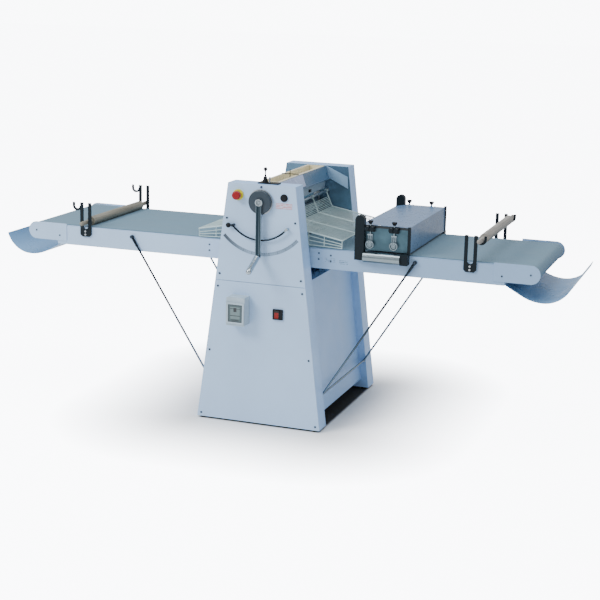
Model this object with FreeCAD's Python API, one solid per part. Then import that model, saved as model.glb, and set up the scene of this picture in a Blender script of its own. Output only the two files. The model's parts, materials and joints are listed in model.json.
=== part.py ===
"""Dough sheeter: two side towers, a roller head, two folding belt tables, guards and a cutting station.

Millimetres, +X along the tables, +Y towards the rear tower, +Z up.
The shapes are drawn about the middle plane of the towers; save() moves them so that the origin is
the bottom centre of the whole machine, lever handle included.
"""
import FreeCAD
import Part
import math
import os

V = FreeCAD.Vector

# ---------------------------------------------------------------- driving dimensions
HEIGHT = 1180.0            # floor to the top of the towers
BODY_DEPTH = 900.0         # outer face to outer face of the towers
TOWER_DEPTH = 100.0        # depth of one tower
TOWER_TOP_WIDTH = 340.0    # width of a tower at its top
TOWER_FOOT_WIDTH = 640.0   # width of a tower at the floor
TABLE_TOP = 880.0          # working height, top of the belts
TABLE_WIDTH = 660.0        # over the table side plates
END_AXIS_X = 1269.5        # machine centre to the end roller axis
ROLLER_GAP = 20.0          # sheeting gap at rest
ROLLER_RADIUS = 42.0       # sheeting rollers
BELT_WIDTH = 620.0
BELT_THICKNESS = 3.0

SHEET = 3.0                # covers and shells
CLEAR = 0.3                # gap between neighbouring pieces that move or touch on curves
FOOT_HEIGHT = 10.0
LEVER_TRAVEL = 19.0        # upper roller travel each way from rest

# towers
COVER_SPLIT_Z = 705.0
COVER_SEAM = 2.0
FLANGE_WIDTH = 30.0
SCREW_INSET = 19.0
SCREW_HEIGHTS = (28.0, 353.0, 675.5, 737.0, 1010.0)
SCREW_HEAD_RADIUS = 5.0
SCREW_HEAD = 2.5
SKIRT_INSET = 40.0
SKIRT_BOTTOM = 52.0
SKIRT_TOP = 700.0
SKIRT_FOOT_HEM = 24.0
SKIRT_HEAD_HEM = 48.0
TIE_BAR_X = (15.0, 45.0)
TIE_BAR_Z = (690.0, 720.0)
BEAM_X = (190.0, 230.0)
BEAM_Z = (60.0, 100.0)
CROSS_BEAM_Y = (80.0, 120.0)
STRUT_LEDGE = (14.0, 4.0, 6.0)   # inwards, outwards and thickness

# roller head
SHAFT_RADIUS = 15.0
ROLLER_LENGTH = 620.0
BLOCK_HALF = 28.0
BLOCK_DEPTH = 28.0
BLOCK_TOP = 98.0           # above the upper roller axis
SCRAPER_BENDS = ((1.095, 0.857), (0.8214, 0.6071), (0.857, 0.571), (1.19, 0.857))   # of the radius
TIE_HALF = 12.0
TIE_BOTTOM = 58.0          # above the upper roller axis
TIE_TOP = 82.0
SLOT_CLEARANCE = 2.0       # tower slot beside the upper roller shaft
GUIDE_WIDTH = 12.0
HUB_Z = 1099.0
HUB_SHAFT_RADIUS = 12.0
CAM_RADIUS = 26.0
HOOD_TOP_X = 50.0
HOOD_TOP_Z = 1178.0
HOOD_LOW_X = 70.0
HOOD_LOW_Z = 1117.0
HOOD_LIP = 6.0
GABLE_OUT_TOP = (169.0, 1127.0)
GABLE_OUT_LOW = (174.0, 1065.0)
HEAD_PANEL_X = 44.0
HEAD_PANEL_Z = (1062.0, 1112.0)
LATCH_Y = (92.0, 118.0)
LATCH_Z = (1073.0, 1086.0)
SPROCKET_RADIUS = 45.0
MOTOR_SPROCKET_RADIUS = 30.0
MOTOR_AXIS_Z = 300.0
CHAIN_THICKNESS = 8.0
CHAIN_WIDTH = 8.0
CHAIN_INSIDE = 47.0        # chain behind the inner face of the rear tower
MOTOR_SHAFT_RADIUS = 13.7
MOTOR_RADIUS = 85.0
MOTOR_LENGTH = 260.0
MOTOR_PLATE = 6.0
GEARBOX_HALF = 70.0
GEARBOX_Y = (150.0, 300.0)

# lever side controls
HUB_DISC_RADIUS = 56.0
HUB_RING_RADIUS = 61.0
HUB_RING_DEPTH = 10.0
HUB_DISC_DEPTH = 14.0
LEVER_LENGTH = 255.0
LEVER_WIDTH = 26.0
LEVER_THICK = 11.0
HANDLE_RADIUS = 14.0
HANDLE_LENGTH = 117.0
HANDLE_TIP = HANDLE_LENGTH + 6.0
HANDLE_DROP = 26.0         # degrees below the horizontal
GUIDE_ARC_RADIUS = 181.0
GUIDE_ARC_ANGLE = 48.7
GUIDE_ROD_RADIUS = 4.5
GUIDE_ROD_OFFSET = 18.0    # rod axis in front of the cover
SCALE_ARC_RADIUS = 252.0
SCALE_ARC_ANGLE = 47.5
SCALE_WIDTH = 16.0
SCALE_GROOVE = 2.0
SCALE_THICK = 0.8
BUTTON_X = 115.0
BUTTON_Z = 1125.0
ESTOP_BASE_RADIUS = 26.0
ESTOP_CAP_RADIUS = 20.5
ESTOP_TRAVEL = 5.0
START_RADIUS = 16.0
START_TRAVEL = 3.0
LAMP_Z = 1169.0
LAMP_RADIUS = 5.5
LABEL_SIZE = (80.0, 26.0)
LABEL_Z = 1086.0
BOX_X = (-144.0, -50.0)
BOX_Z = (502.0, 641.0)
BOX_DEPTH = 66.0
LID_Z = (512.0, 616.0)
LID_DEPTH = 5.0
POCKET_DEPTH = 30.0
BREAKER_SETBACK = 12.0
TOGGLE_RADIUS = 4.5
TOGGLE_HALF = 9.0
TOGGLE_REACH = 6.9
TOGGLE_ANGLE = 20.0
SWITCH_CENTRE = (96.0, 564.0)
SWITCH_SIZE = 50.0
ROCKER_SIZE = (26.0, 42.0)
ROCKER_TILT = 7.0
JOYSTICK_PLATE_X = (-31.0, 72.0)
JOYSTICK_PLATE = 5.0
JOYSTICK_BOOT = 33.0       # above the tower top
JOYSTICK_BALL_Z = 68.0
JOYSTICK_KNEE = 5.0        # radius of the ball the stick tilts about
POST_X = 22.0
POST_TOP = 32.0

# tables
PIVOT_X = 190.0
PIVOT_Z = 835.0
PIVOT_RADIUS = 12.0
TABLE_SIDE_TOP = 875.0
TABLE_SIDE_BOTTOM = 781.0
TABLE_INNER_X = 82.0
PLATE_TO_AXIS = 119.5      # outer end of the side plate to the end roller axis
TABLE_FLANGE = 22.0
FLANGE_SHORT = 20.0        # the flange stops this far before the plate does
RAIL_X = (330.0, 560.0, 790.0, 1020.0)
RAIL_WIDTH = 30.0
RAIL_HEIGHT = 18.0
BOLT_RADIUS = 4.2
SIDE_BOLTS = ((253.0, 855.0), (313.0, 848.0), (253.0, 826.0), (313.0, 819.0))
DRIVE_AXIS_X = 100.0
BELT_OUTER_RADIUS = 38.0
TABLE_SHAFT_RADIUS = 8.0
BED_THICKNESS = 2.7
END_PLATE_TO_AXIS = 171.5
END_NOSE_RADIUS = 44.0
TRAY_SHEET = 3.0
TRAY_WIDTH = 600.0
TRAY_BEYOND_AXIS = 55.5    # end roller axis to the lowest line of the tray
TRAY_FLANGE_BEHIND = 151.5
TRAY_LOW_Z = 711.0
TRAY_INNER_RADIUS = 205.0
TRAY_OUTER_RADIUS = 137.0
TRAY_INNER_ANGLE = 29.0
TRAY_LIP_ANGLE = 73.0
STRUT_TOP = (728.0, 852.0)
STRUT_FOOT = (293.0, 162.0)
STRUT_Y = 340.0
STRUT_RADIUS = 5.0
FORK_TO_AXIS = 282.5
FORK_SLOT = 28.0
FORK_PRONG = 16.0
FORK_PLATE = 8.0
FORK_TOP = 1003.0
FORK_SLOT_Z = 868.0
FORK_BASE_Z = 831.0
HOOK_BESIDE_FORK = 47.0
HOOK_Z = 986.0
HOOK_RADIUS = 14.0
HOOK_WIDTH = 11.0
PIN_RADIUS = 22.0
PIN_BODY = 560.0
PIN_HANDLE_RADIUS = 11.0
PIN_HANDLE = 110.0

# guards
GUARD_AXIS_X = 60.0
GUARD_AXIS_Z = 1050.0
GUARD_ROD_RADIUS = 6.0
GUARD_SLEEVE_RADIUS = 9.0
GUARD_CREASE = (95.0, 972.0)
GUARD_TIP = (369.0, 923.0)
GUARD_Y = 330.0
GUARD_FRAME_RADIUS = 3.0
GUARD_WIRE_RADIUS = 1.6
GUARD_WIRE_PITCH = 14.0
GUARD_SKIRT_INNER = ((199.0, 935.0), (199.0, 914.0), (199.0, 892.0))
GUARD_SKIRT_OUTER = ((367.0, 906.0), (367.0, 896.0), (367.0, 886.0))

# cutting station on the right-hand table
STATION_BLOCK_X = (438.0, 483.0)
STATION_BLOCK_Z = (845.0, 1058.0)
STATION_BLOCK_DEPTH = 30.0
STATION_END_X = (662.0, 698.0)
STATION_END_Z = (838.0, 888.0)
STATION_TOP_Z = 1012.0
STATION_PLATE_Z = 892.0
STATION_TUBE_RADIUS = 24.0
STATION_ROLLER_X = (507.0, 623.0)
STATION_ROLLER_Z = 921.0
STATION_ROLLER_RADIUS = 37.0
STATION_SHAFT_RADIUS = 10.0
STATION_LIFT = 10.0
STATION_BEARING_RADIUS = 22.0
STATION_PLATE = 4.0
YOKE_HALF = 23.0
YOKE_Z = (982.0, 1008.0)
WHEEL_OFFSET = 12.0
WHEEL_RADIUS = 10.5
KNOB_RADIUS = 12.5
KNOB_BASE_Z = 1018.0
BEAM_HEIGHTS = (968.0, 992.0)

# ---------------------------------------------------------------- derived dimensions
FRONT = -BODY_DEPTH / 2
COVER_BACK = FRONT + SHEET
INNER = BODY_DEPTH / 2 - TOWER_DEPTH
LOWER_Z = TABLE_TOP - ROLLER_RADIUS
UPPER_Z = TABLE_TOP + ROLLER_GAP + ROLLER_RADIUS
BELT_AXIS_Z = TABLE_TOP - BELT_OUTER_RADIUS
TABLE_HALF = TABLE_WIDTH / 2
BELT_HALF = BELT_WIDTH / 2
PIVOT_END = TABLE_HALF - 10.0
CHAIN_Y = INNER + CHAIN_INSIDE
SLOT_HALF = SHAFT_RADIUS + SLOT_CLEARANCE
TABLE_OUTER_X = END_AXIS_X - PLATE_TO_AXIS
END_PLATE_INNER_X = END_AXIS_X - END_PLATE_TO_AXIS
TRAY_LOW_X = END_AXIS_X + TRAY_BEYOND_AXIS
FORK_X = END_AXIS_X - FORK_TO_AXIS
HOOK_X = FORK_X + HOOK_BESIDE_FORK
STATION_Y = TABLE_HALF


# ---------------------------------------------------------------- shape helpers
def box(x0, x1, y0, y1, z0, z1):
    """Box between two corners, in any order."""
    low = V(min(x0, x1), min(y0, y1), min(z0, z1))
    return Part.makeBox(abs(x1 - x0), abs(y1 - y0), abs(z1 - z0), low)


def rod(start, end, radius):
    """Solid cylinder between two points."""
    a = V(*start)
    axis = V(*end) - a
    return Part.makeCylinder(radius, axis.Length, a, axis)


def rod_y(x, z, radius, y0, y1):
    return rod((x, y0, z), (x, y1, z), radius)


def rod_x(y, z, radius, x0, x1):
    return rod((x0, y, z), (x1, y, z), radius)


def rod_z(x, y, radius, z0, z1):
    return rod((x, y, z0), (x, y, z1), radius)


def ball(x, y, z, radius):
    return Part.makeSphere(radius, V(x, y, z))


def prism(points, y0, y1):
    """Outline in the XZ plane, extruded along Y."""
    ring = [V(x, y0, z) for x, z in points]
    return Part.Face(Part.makePolygon(ring + ring[:1])).extrude(V(0, y1 - y0, 0))


def face_prism(edges, y0, y1):
    """Closed chain of XZ edges drawn at Y = 0, extruded between two Y values."""
    solid = Part.Face(Part.Wire(edges)).extrude(V(0, y1 - y0, 0))
    solid.translate(V(0, y0, 0))
    return solid


def point(x, z):
    return V(x, 0, z)


def polar(cx, cz, radius, degrees):
    """Point on a circle in the XZ plane, degrees from +X towards +Z."""
    a = math.radians(degrees)
    return point(cx + radius * math.cos(a), cz + radius * math.sin(a))


def arc(cx, cz, radius, start, end):
    """Circular edge in the XZ plane."""
    middle = polar(cx, cz, radius, (start + end) / 2)
    return Part.Arc(polar(cx, cz, radius, start), middle, polar(cx, cz, radius, end)).toShape()


def line(a, b):
    return Part.LineSegment(a, b).toShape()


def arc_band(cx, cz, radius, width, start, end, y0, y1):
    """Curved strip of constant width, centred on a radius."""
    inner = radius - width / 2
    outer = radius + width / 2
    edges = [
        arc(cx, cz, inner, start, end),
        line(polar(cx, cz, inner, end), polar(cx, cz, outer, end)),
        arc(cx, cz, outer, end, start),
        line(polar(cx, cz, outer, start), polar(cx, cz, inner, start)),
    ]
    return face_prism(edges, y0, y1)


def stadium(x0, x1, z, radius, y0, y1):
    """Bar with round ends in the XZ plane."""
    solid = box(x0, x1, y0, y1, z - radius, z + radius)
    solid = solid.fuse([rod_y(x0, z, radius, y0, y1), rod_y(x1, z, radius, y0, y1)])
    return solid.removeSplitter()


def fused(shapes):
    """One solid out of overlapping shapes."""
    return shapes[0].fuse(shapes[1:]).removeSplitter()


def mirror_x(shape):
    return shape.mirror(V(0, 0, 0), V(1, 0, 0))


def mirror_y(shape):
    return shape.mirror(V(0, 0, 0), V(0, 1, 0))


def both_y(shape):
    """The piece and its twin on the rear side."""
    return [shape, mirror_y(shape)]


def both_x(shape):
    return [shape, mirror_x(shape)]


def origin_shift():
    """Distance from the middle plane of the towers to the middle of the whole depth."""
    root, way = handle_frame()
    front_reach = root.y + way.y * HANDLE_TIP - HANDLE_RADIUS
    rear_reach = -FRONT + SCREW_HEAD
    return -(front_reach + rear_reach) / 2


def save(name, shapes):
    """Write one node; every solid in it stays separate."""
    solids = []
    for shape in shapes:
        solids += shape.Solids
    compound = Part.makeCompound(solids)
    compound.translate(V(0, origin_shift(), 0))
    compound.exportStep("parts/" + name + ".step")


def half_width(z):
    """Half width of a tower at a height."""
    return (TOWER_FOOT_WIDTH + (TOWER_TOP_WIDTH - TOWER_FOOT_WIDTH) * z / HEIGHT) / 2


def tower_outline(inset, z0, z1):
    """Trapezium between two heights, drawn in from the sloping edges."""
    return [
        (-half_width(z0) + inset, z0),
        (half_width(z0) - inset, z0),
        (half_width(z1) - inset, z1),
        (-half_width(z1) + inset, z1),
    ]


# ---------------------------------------------------------------- towers and base
def front_tower():
    """Sheet shell of the front tower with its pivot pins, strut ledges and bearing holes."""
    shell = prism(tower_outline(0, FOOT_HEIGHT, HEIGHT), COVER_BACK, -INNER)
    inside = tower_outline(SHEET, FOOT_HEIGHT + SHEET, HEIGHT - SHEET)
    cavity = prism(inside, COVER_BACK + SHEET, -INNER - SHEET)
    window = prism(
        tower_outline(FLANGE_WIDTH, FOOT_HEIGHT + FLANGE_WIDTH, HEIGHT - FLANGE_WIDTH / 2),
        COVER_BACK, COVER_BACK + SHEET,
    )
    through = -INNER + 1
    back = -INNER - SHEET - 1
    cuts = [
        cavity,
        window,
        box(-SLOT_HALF, SLOT_HALF, back, through, UPPER_Z - LEVER_TRAVEL - SHAFT_RADIUS - 5,
            UPPER_Z + TIE_TOP + LEVER_TRAVEL + 3),
        rod_y(0, LOWER_Z, SHAFT_RADIUS + CLEAR, back, through),
        rod_y(0, HUB_Z, HUB_SHAFT_RADIUS + CLEAR, back, through),
    ]
    for side in (-1, 1):
        cuts.append(rod_y(side * GUARD_AXIS_X, GUARD_AXIS_Z, GUARD_ROD_RADIUS + CLEAR, back, through))
    pieces = [shell.cut(cuts)]
    foot_x, foot_z = STRUT_FOOT
    ledge_top = foot_z - STRUT_RADIUS - CLEAR
    inwards, outwards, thick = STRUT_LEDGE
    for side in (-1, 1):
        pieces.append(rod_y(side * PIVOT_X, PIVOT_Z, PIVOT_RADIUS, -INNER, -PIVOT_END))
        pieces.append(box(side * (foot_x - inwards), side * (foot_x + outwards), -INNER, -STRUT_Y + 2,
                          ledge_top - thick, ledge_top))
    return pieces


def front_upper_cover():
    """Upper front cover with the groove of the scale and the holes of the controls."""
    cover = prism(tower_outline(0, COVER_SPLIT_Z + COVER_SEAM / 2, HEIGHT), FRONT, COVER_BACK)
    start = 270 - SCALE_ARC_ANGLE
    end = 270 + SCALE_ARC_ANGLE
    groove = arc_band(0, HUB_Z, SCALE_ARC_RADIUS, SCALE_WIDTH, start, end, FRONT, FRONT + SCALE_GROOVE)
    cuts = [
        groove,
        rod_y(0, HUB_Z, HUB_SHAFT_RADIUS + CLEAR, FRONT - 1, COVER_BACK + 1),
        rod_y(-BUTTON_X, BUTTON_Z, 10 + CLEAR, FRONT - 1, COVER_BACK + 1),
        rod_y(BUTTON_X, BUTTON_Z, START_RADIUS, FRONT - 1, COVER_BACK + 1),
    ]
    return cover.cut(cuts)


def front_lower_cover():
    return prism(tower_outline(0, FOOT_HEIGHT, COVER_SPLIT_Z - COVER_SEAM / 2), FRONT, COVER_BACK)


def rear_covers():
    lower = mirror_y(front_lower_cover())
    upper = prism(tower_outline(0, COVER_SPLIT_Z + COVER_SEAM / 2, HEIGHT), -COVER_BACK, -FRONT)
    return [lower, upper]


def cover_screws():
    """Button-head screws along the sloping edges of the four covers."""
    screws = []
    for z in SCREW_HEIGHTS:
        for side in (-1, 1):
            x = side * (half_width(z) - SCREW_INSET)
            screws += both_y(rod_y(x, z, SCREW_HEAD_RADIUS, FRONT - SCREW_HEAD, FRONT))
    return screws


def base_frame():
    """Bottom beams and upper tie bars that hold the two towers together."""
    pieces = []
    for side in (-1, 1):
        pieces.append(box(side * BEAM_X[0], side * BEAM_X[1], -INNER, INNER, *BEAM_Z))
        pieces.append(box(side * TIE_BAR_X[0], side * TIE_BAR_X[1], -INNER, INNER, *TIE_BAR_Z))
    pieces += both_y(box(-BEAM_X[0], BEAM_X[0], *CROSS_BEAM_Y, *BEAM_Z))
    return pieces


def skirt_panels():
    """Sloping sheet panels that close the space between the towers, with a folded foot."""
    z0 = SKIRT_BOTTOM
    z1 = SKIRT_TOP
    low = half_width(z0) - SKIRT_INSET
    high = half_width(z1) - SKIRT_INSET
    panel = prism([(low - SHEET, z0), (low, z0), (high, z1), (high - SHEET, z1)], -INNER, INNER)
    foot = box(low - SKIRT_FOOT_HEM, low - 1, -INNER, INNER, z0, z0 + SHEET)
    head = box(high - SKIRT_HEAD_HEM, high - 1, -INNER, INNER, z1 - SHEET, z1)
    return both_x(fused([panel, foot, head]))


def levelling_feet():
    """Glides under the corners of both towers."""
    feet = []
    for x in (-290, 290):
        for y in (FRONT + 22, -INNER - 22):
            pad = rod_z(x, y, 16, 0, FOOT_HEIGHT)
            feet += both_y(pad)
    return feet


def motor_unit():
    """Gear motor on its plate across the bottom beams, shaft end towards the rear tower."""
    half = GEARBOX_HALF
    plate_top = BEAM_Z[1] + MOTOR_PLATE
    front, back = GEARBOX_Y
    plate = box(-BEAM_X[0], BEAM_X[0], CROSS_BEAM_Y[0] - 40, front + 90, BEAM_Z[1], plate_top)
    gearbox = box(-half, half, front, back, MOTOR_AXIS_Z - half - 5, MOTOR_AXIS_Z + half + 5)
    stand = box(-half, half, front + 20, front + 85, plate_top - 1, MOTOR_AXIS_Z - half)
    motor = rod_y(0, MOTOR_AXIS_Z, MOTOR_RADIUS, front - MOTOR_LENGTH, front)
    fan_cover = rod_y(0, MOTOR_AXIS_Z, MOTOR_RADIUS + 3, front - MOTOR_LENGTH - 50, front - MOTOR_LENGTH)
    terminal = box(-55, 55, -40, 60, MOTOR_AXIS_Z + MOTOR_RADIUS - 5, MOTOR_AXIS_Z + MOTOR_RADIUS + 45)
    boss = rod_y(0, MOTOR_AXIS_Z, 2 * MOTOR_SHAFT_RADIUS, back, INNER)
    bore = rod_y(0, MOTOR_AXIS_Z, MOTOR_SHAFT_RADIUS + CLEAR, back, INNER + 1)
    return [fused([plate, stand, gearbox, motor, fan_cover, terminal, boss]).cut(bore)]


def motor_sprocket():
    """Output shaft with the small sprocket inside the rear tower."""
    shaft = rod_y(0, MOTOR_AXIS_Z, MOTOR_SHAFT_RADIUS, GEARBOX_Y[1] + CLEAR, CHAIN_Y + 15)
    wheel = rod_y(0, MOTOR_AXIS_Z, MOTOR_SPROCKET_RADIUS, CHAIN_Y + 1, CHAIN_Y + CHAIN_WIDTH - 1)
    return [fused([shaft, wheel])]


def drive_chain():
    """Closed chain round both sprockets, as one smooth band."""
    def loop(extra):
        big = SPROCKET_RADIUS + extra
        small = MOTOR_SPROCKET_RADIUS + extra
        rise = LOWER_Z - MOTOR_AXIS_Z
        lean = math.degrees(math.asin((big - small) / rise))
        top_l = polar(0, LOWER_Z, big, 180 + lean)
        top_r = polar(0, LOWER_Z, big, -lean)
        low_l = polar(0, MOTOR_AXIS_Z, small, 180 + lean)
        low_r = polar(0, MOTOR_AXIS_Z, small, -lean)
        edges = [
            Part.Arc(top_r, point(0, LOWER_Z + big), top_l).toShape(),
            line(top_l, low_l),
            Part.Arc(low_l, point(0, MOTOR_AXIS_Z - small), low_r).toShape(),
            line(low_r, top_r),
        ]
        return face_prism(edges, CHAIN_Y, CHAIN_Y + CHAIN_WIDTH)

    return [loop(CLEAR + CHAIN_THICKNESS).cut(loop(CLEAR))]


def rear_tower():
    """Mirror of the front tower with one more hole for the motor shaft."""
    hole = rod_y(0, MOTOR_AXIS_Z, MOTOR_SHAFT_RADIUS + CLEAR, INNER - 1, INNER + SHEET + 1)
    pieces = [mirror_y(piece) for piece in front_tower()]
    return [pieces[0].cut(hole)] + pieces[1:]


# ---------------------------------------------------------------- roller head
def lower_roller():
    """Driven lower sheeting roller with its shaft and sprocket."""
    half = ROLLER_LENGTH / 2
    body = rod_y(0, LOWER_Z, ROLLER_RADIUS, -half, half)
    shaft = rod_y(0, LOWER_Z, SHAFT_RADIUS, -INNER - 40, CHAIN_Y + 18)
    wheel = rod_y(0, LOWER_Z, SPROCKET_RADIUS, CHAIN_Y + 1, CHAIN_Y + CHAIN_WIDTH - 1)
    return [fused([body, shaft, wheel])]


def upper_roller():
    half = ROLLER_LENGTH / 2
    body = rod_y(0, UPPER_Z, ROLLER_RADIUS, -half, half)
    shaft = rod_y(0, UPPER_Z, SHAFT_RADIUS, -INNER - 36, INNER + 36)
    return [fused([body, shaft])]


def roller_carriage():
    """Bearing blocks of the upper roller, the tie bar between them and its two scrapers."""
    near = INNER + SHEET + CLEAR
    block = box(-BLOCK_HALF, BLOCK_HALF, -near, -near - BLOCK_DEPTH, UPPER_Z - 30, UPPER_Z + BLOCK_TOP)
    block = block.cut(rod_y(0, UPPER_Z, SHAFT_RADIUS + CLEAR, -near - BLOCK_DEPTH - 1, -near + 1))
    tie = box(-TIE_HALF, TIE_HALF, -near - 4, near + 4, UPPER_Z + TIE_BOTTOM, UPPER_Z + TIE_TOP)
    scrapers = []
    root = TIE_HALF - 1
    for side in (-1, 1):
        blade = [(side * root, UPPER_Z + TIE_BOTTOM + 14), (side * root, UPPER_Z + TIE_BOTTOM + 8)]
        for across, rise in SCRAPER_BENDS:
            blade.append((side * across * ROLLER_RADIUS, UPPER_Z + rise * ROLLER_RADIUS))
        scrapers.append(prism(blade, -ROLLER_LENGTH / 2, ROLLER_LENGTH / 2))
    return [fused(both_y(block) + [tie] + scrapers)]


def roller_mounts():
    """Flanged bearings of the lower roller, carriage guides and the transfer bars beside the nip."""
    pieces = []
    flange = rod_y(0, LOWER_Z, 40, -INNER - SHEET, -INNER - SHEET - 18)
    flange = flange.cut(rod_y(0, LOWER_Z, SHAFT_RADIUS + CLEAR, -INNER, -INNER - 60))
    pieces += both_y(flange)
    for side in (-1, 1):
        inner = BLOCK_HALF + CLEAR
        rail = box(side * inner, side * (inner + GUIDE_WIDTH), -INNER - SHEET, -INNER - SHEET - 30,
                   UPPER_Z - 52, UPPER_Z + BLOCK_TOP + 12)
        pieces += both_y(rail)
        bar = prism([(side * 22, TABLE_TOP - 1), (side * 76, TABLE_TOP - 1), (side * 50, TABLE_TOP - 21)],
                    -INNER, INNER)
        pieces.append(bar)
    return pieces


def adjusting_shaft():
    """Cross shaft turned by the lever, with an eccentric cam inside each tower."""
    shaft = rod_y(0, HUB_Z, HUB_SHAFT_RADIUS, FRONT - HUB_RING_DEPTH - HUB_DISC_DEPTH - 8, INNER + 45)
    cams = []
    for y in (-INNER - 20, INNER + 6):
        cams.append(rod_y(4, HUB_Z, CAM_RADIUS, y, y + 14))
    return [fused([shaft] + cams)]


def hood():
    """Sheet walls of the head with top flanges and hemmed lips, and the gable plates on the towers."""
    half = INNER - SHEET - CLEAR
    walls = []
    for side in (-1, 1):
        wall = prism([
            (side * HOOD_TOP_X, HOOD_TOP_Z),
            (side * HOOD_LOW_X, HOOD_LOW_Z),
            (side * (HOOD_LOW_X - 2), HOOD_LOW_Z),
            (side * (HOOD_TOP_X - 2), HOOD_TOP_Z),
        ], -half, half)
        flange = box(side * (HOOD_TOP_X - 14), side * (HOOD_TOP_X - 0.5), -half, half,
                     HOOD_TOP_Z - 2, HOOD_TOP_Z)
        lip = box(side * (HOOD_LOW_X - 2), side * (HOOD_LOW_X + HOOD_LIP), -half, half,
                  HOOD_LOW_Z - 4, HOOD_LOW_Z + 0.5)
        walls.append(fused([wall, flange, lip]))
    top_x = HOOD_TOP_X - 1
    low_x = HOOD_LOW_X - 1
    gable = prism([
        (-top_x, HOOD_TOP_Z + 1), (top_x, HOOD_TOP_Z + 1), GABLE_OUT_TOP, GABLE_OUT_LOW,
        (low_x, HOOD_LOW_Z - 2), (-low_x, HOOD_LOW_Z - 2),
        (-GABLE_OUT_LOW[0], GABLE_OUT_LOW[1]), (-GABLE_OUT_TOP[0], GABLE_OUT_TOP[1]),
    ], -INNER, -INNER + SHEET)
    return walls + both_y(gable)


def head_panels():
    """Lower panels of the head with their catches, and the cover sheets on the front part of the hood."""
    half = INNER - SHEET - CLEAR
    pieces = []
    for side in (-1, 1):
        wide = INNER - CLEAR
        pieces.append(box(side * HEAD_PANEL_X, side * (HEAD_PANEL_X + 2), -wide, wide, *HEAD_PANEL_Z))
        pieces.append(box(side * (HEAD_PANEL_X + 2), side * (HEAD_PANEL_X + 8), *LATCH_Y, *LATCH_Z))
        gap = 0.2
        pieces.append(prism([
            (side * (HOOD_TOP_X + gap), HOOD_TOP_Z),
            (side * (HOOD_LOW_X + gap - 1.6), HOOD_LOW_Z + 5),
            (side * (HOOD_LOW_X + gap + 0.4), HOOD_LOW_Z + 5),
            (side * (HOOD_TOP_X + gap + 2), HOOD_TOP_Z),
        ], -half, -20))
    return pieces


def flour_tray():
    """Moulded flour dish that hangs by its rim in the hood, with a wire cross handle."""
    rim = box(-HOOD_TOP_X + 3, HOOD_TOP_X - 3, -332, 332, HOOD_TOP_Z + CLEAR, HOOD_TOP_Z + CLEAR + 2)
    width = HOOD_TOP_X - 14 - CLEAR
    body = box(-width, width, -326, 326, HOOD_TOP_Z - 27, HOOD_TOP_Z + CLEAR + 1)
    hollow = box(-width + 2, width - 2, -324, 324, HOOD_TOP_Z - 25, HOOD_TOP_Z + 10)
    dish = fused([rim, body]).cut(hollow)
    top = HOOD_TOP_Z + CLEAR + 2
    cross = rod_x(-60, top + 3, 2, -HOOD_TOP_X + 6, HOOD_TOP_X - 6)
    post = rod_z(0, -60, 2, top - 26, top + 24)
    legs = [rod_z(x, -60, 2, top, top + 3) for x in (-HOOD_TOP_X + 7, HOOD_TOP_X - 7)]
    return [dish, fused([cross, post] + legs)]


# ---------------------------------------------------------------- lever and controls
def thickness_lever():
    """Hub disc and the arm that hangs from it."""
    ring_front = FRONT - HUB_RING_DEPTH - CLEAR
    disc_front = ring_front - HUB_DISC_DEPTH
    disc = rod_y(0, HUB_Z, HUB_DISC_RADIUS, disc_front, ring_front)
    disc = disc.makeFillet(4, [e for e in disc.Edges if abs(e.CenterOfMass.y - disc_front) < 0.01])
    arm_back = disc_front + 0.5
    half = LEVER_WIDTH / 2
    arm = box(-half, half, arm_back - LEVER_THICK, arm_back, HUB_Z - LEVER_LENGTH, HUB_Z)
    ends = [
        rod_y(0, HUB_Z, half + 6, arm_back - LEVER_THICK, arm_back),
        rod_y(0, HUB_Z - LEVER_LENGTH, half, arm_back - LEVER_THICK, arm_back),
    ]
    bore = rod_y(0, HUB_Z, HUB_SHAFT_RADIUS, disc_front - 40, FRONT)
    return [fused([disc, arm] + ends).cut(bore)]


def handle_frame():
    """Root point and direction of the lever handle."""
    arm_front = FRONT - HUB_RING_DEPTH - CLEAR - HUB_DISC_DEPTH + 0.5 - LEVER_THICK
    a = math.radians(HANDLE_DROP)
    return V(0, arm_front, HUB_Z - LEVER_LENGTH), V(0, -math.cos(a), -math.sin(a))


def lever_handle():
    """Chrome joint ball and grip, and the dark ring near the end of the grip."""
    root, way = handle_frame()
    joint = root + way * 14
    knuckle = ball(joint.x, joint.y, joint.z, 14.5).cut(box(-40, 40, root.y, root.y + 40, 700, 900))
    tip = root + way * HANDLE_TIP
    grip = rod((joint.x, joint.y, joint.z), (tip.x, tip.y, tip.z), HANDLE_RADIUS)
    end = ball(tip.x, tip.y, tip.z, HANDLE_RADIUS)
    ring_a = root + way * (HANDLE_LENGTH - 22)
    ring_b = root + way * (HANDLE_LENGTH - 8)
    band = Part.makeCylinder(HANDLE_RADIUS + 1.2, 14, ring_a, ring_b - ring_a)
    groove = Part.makeCylinder(HANDLE_RADIUS - 1.5, 14, ring_a, ring_b - ring_a)
    return [fused([knuckle, grip, end]).cut(band.cut(groove)), band.cut(groove)]


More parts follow.
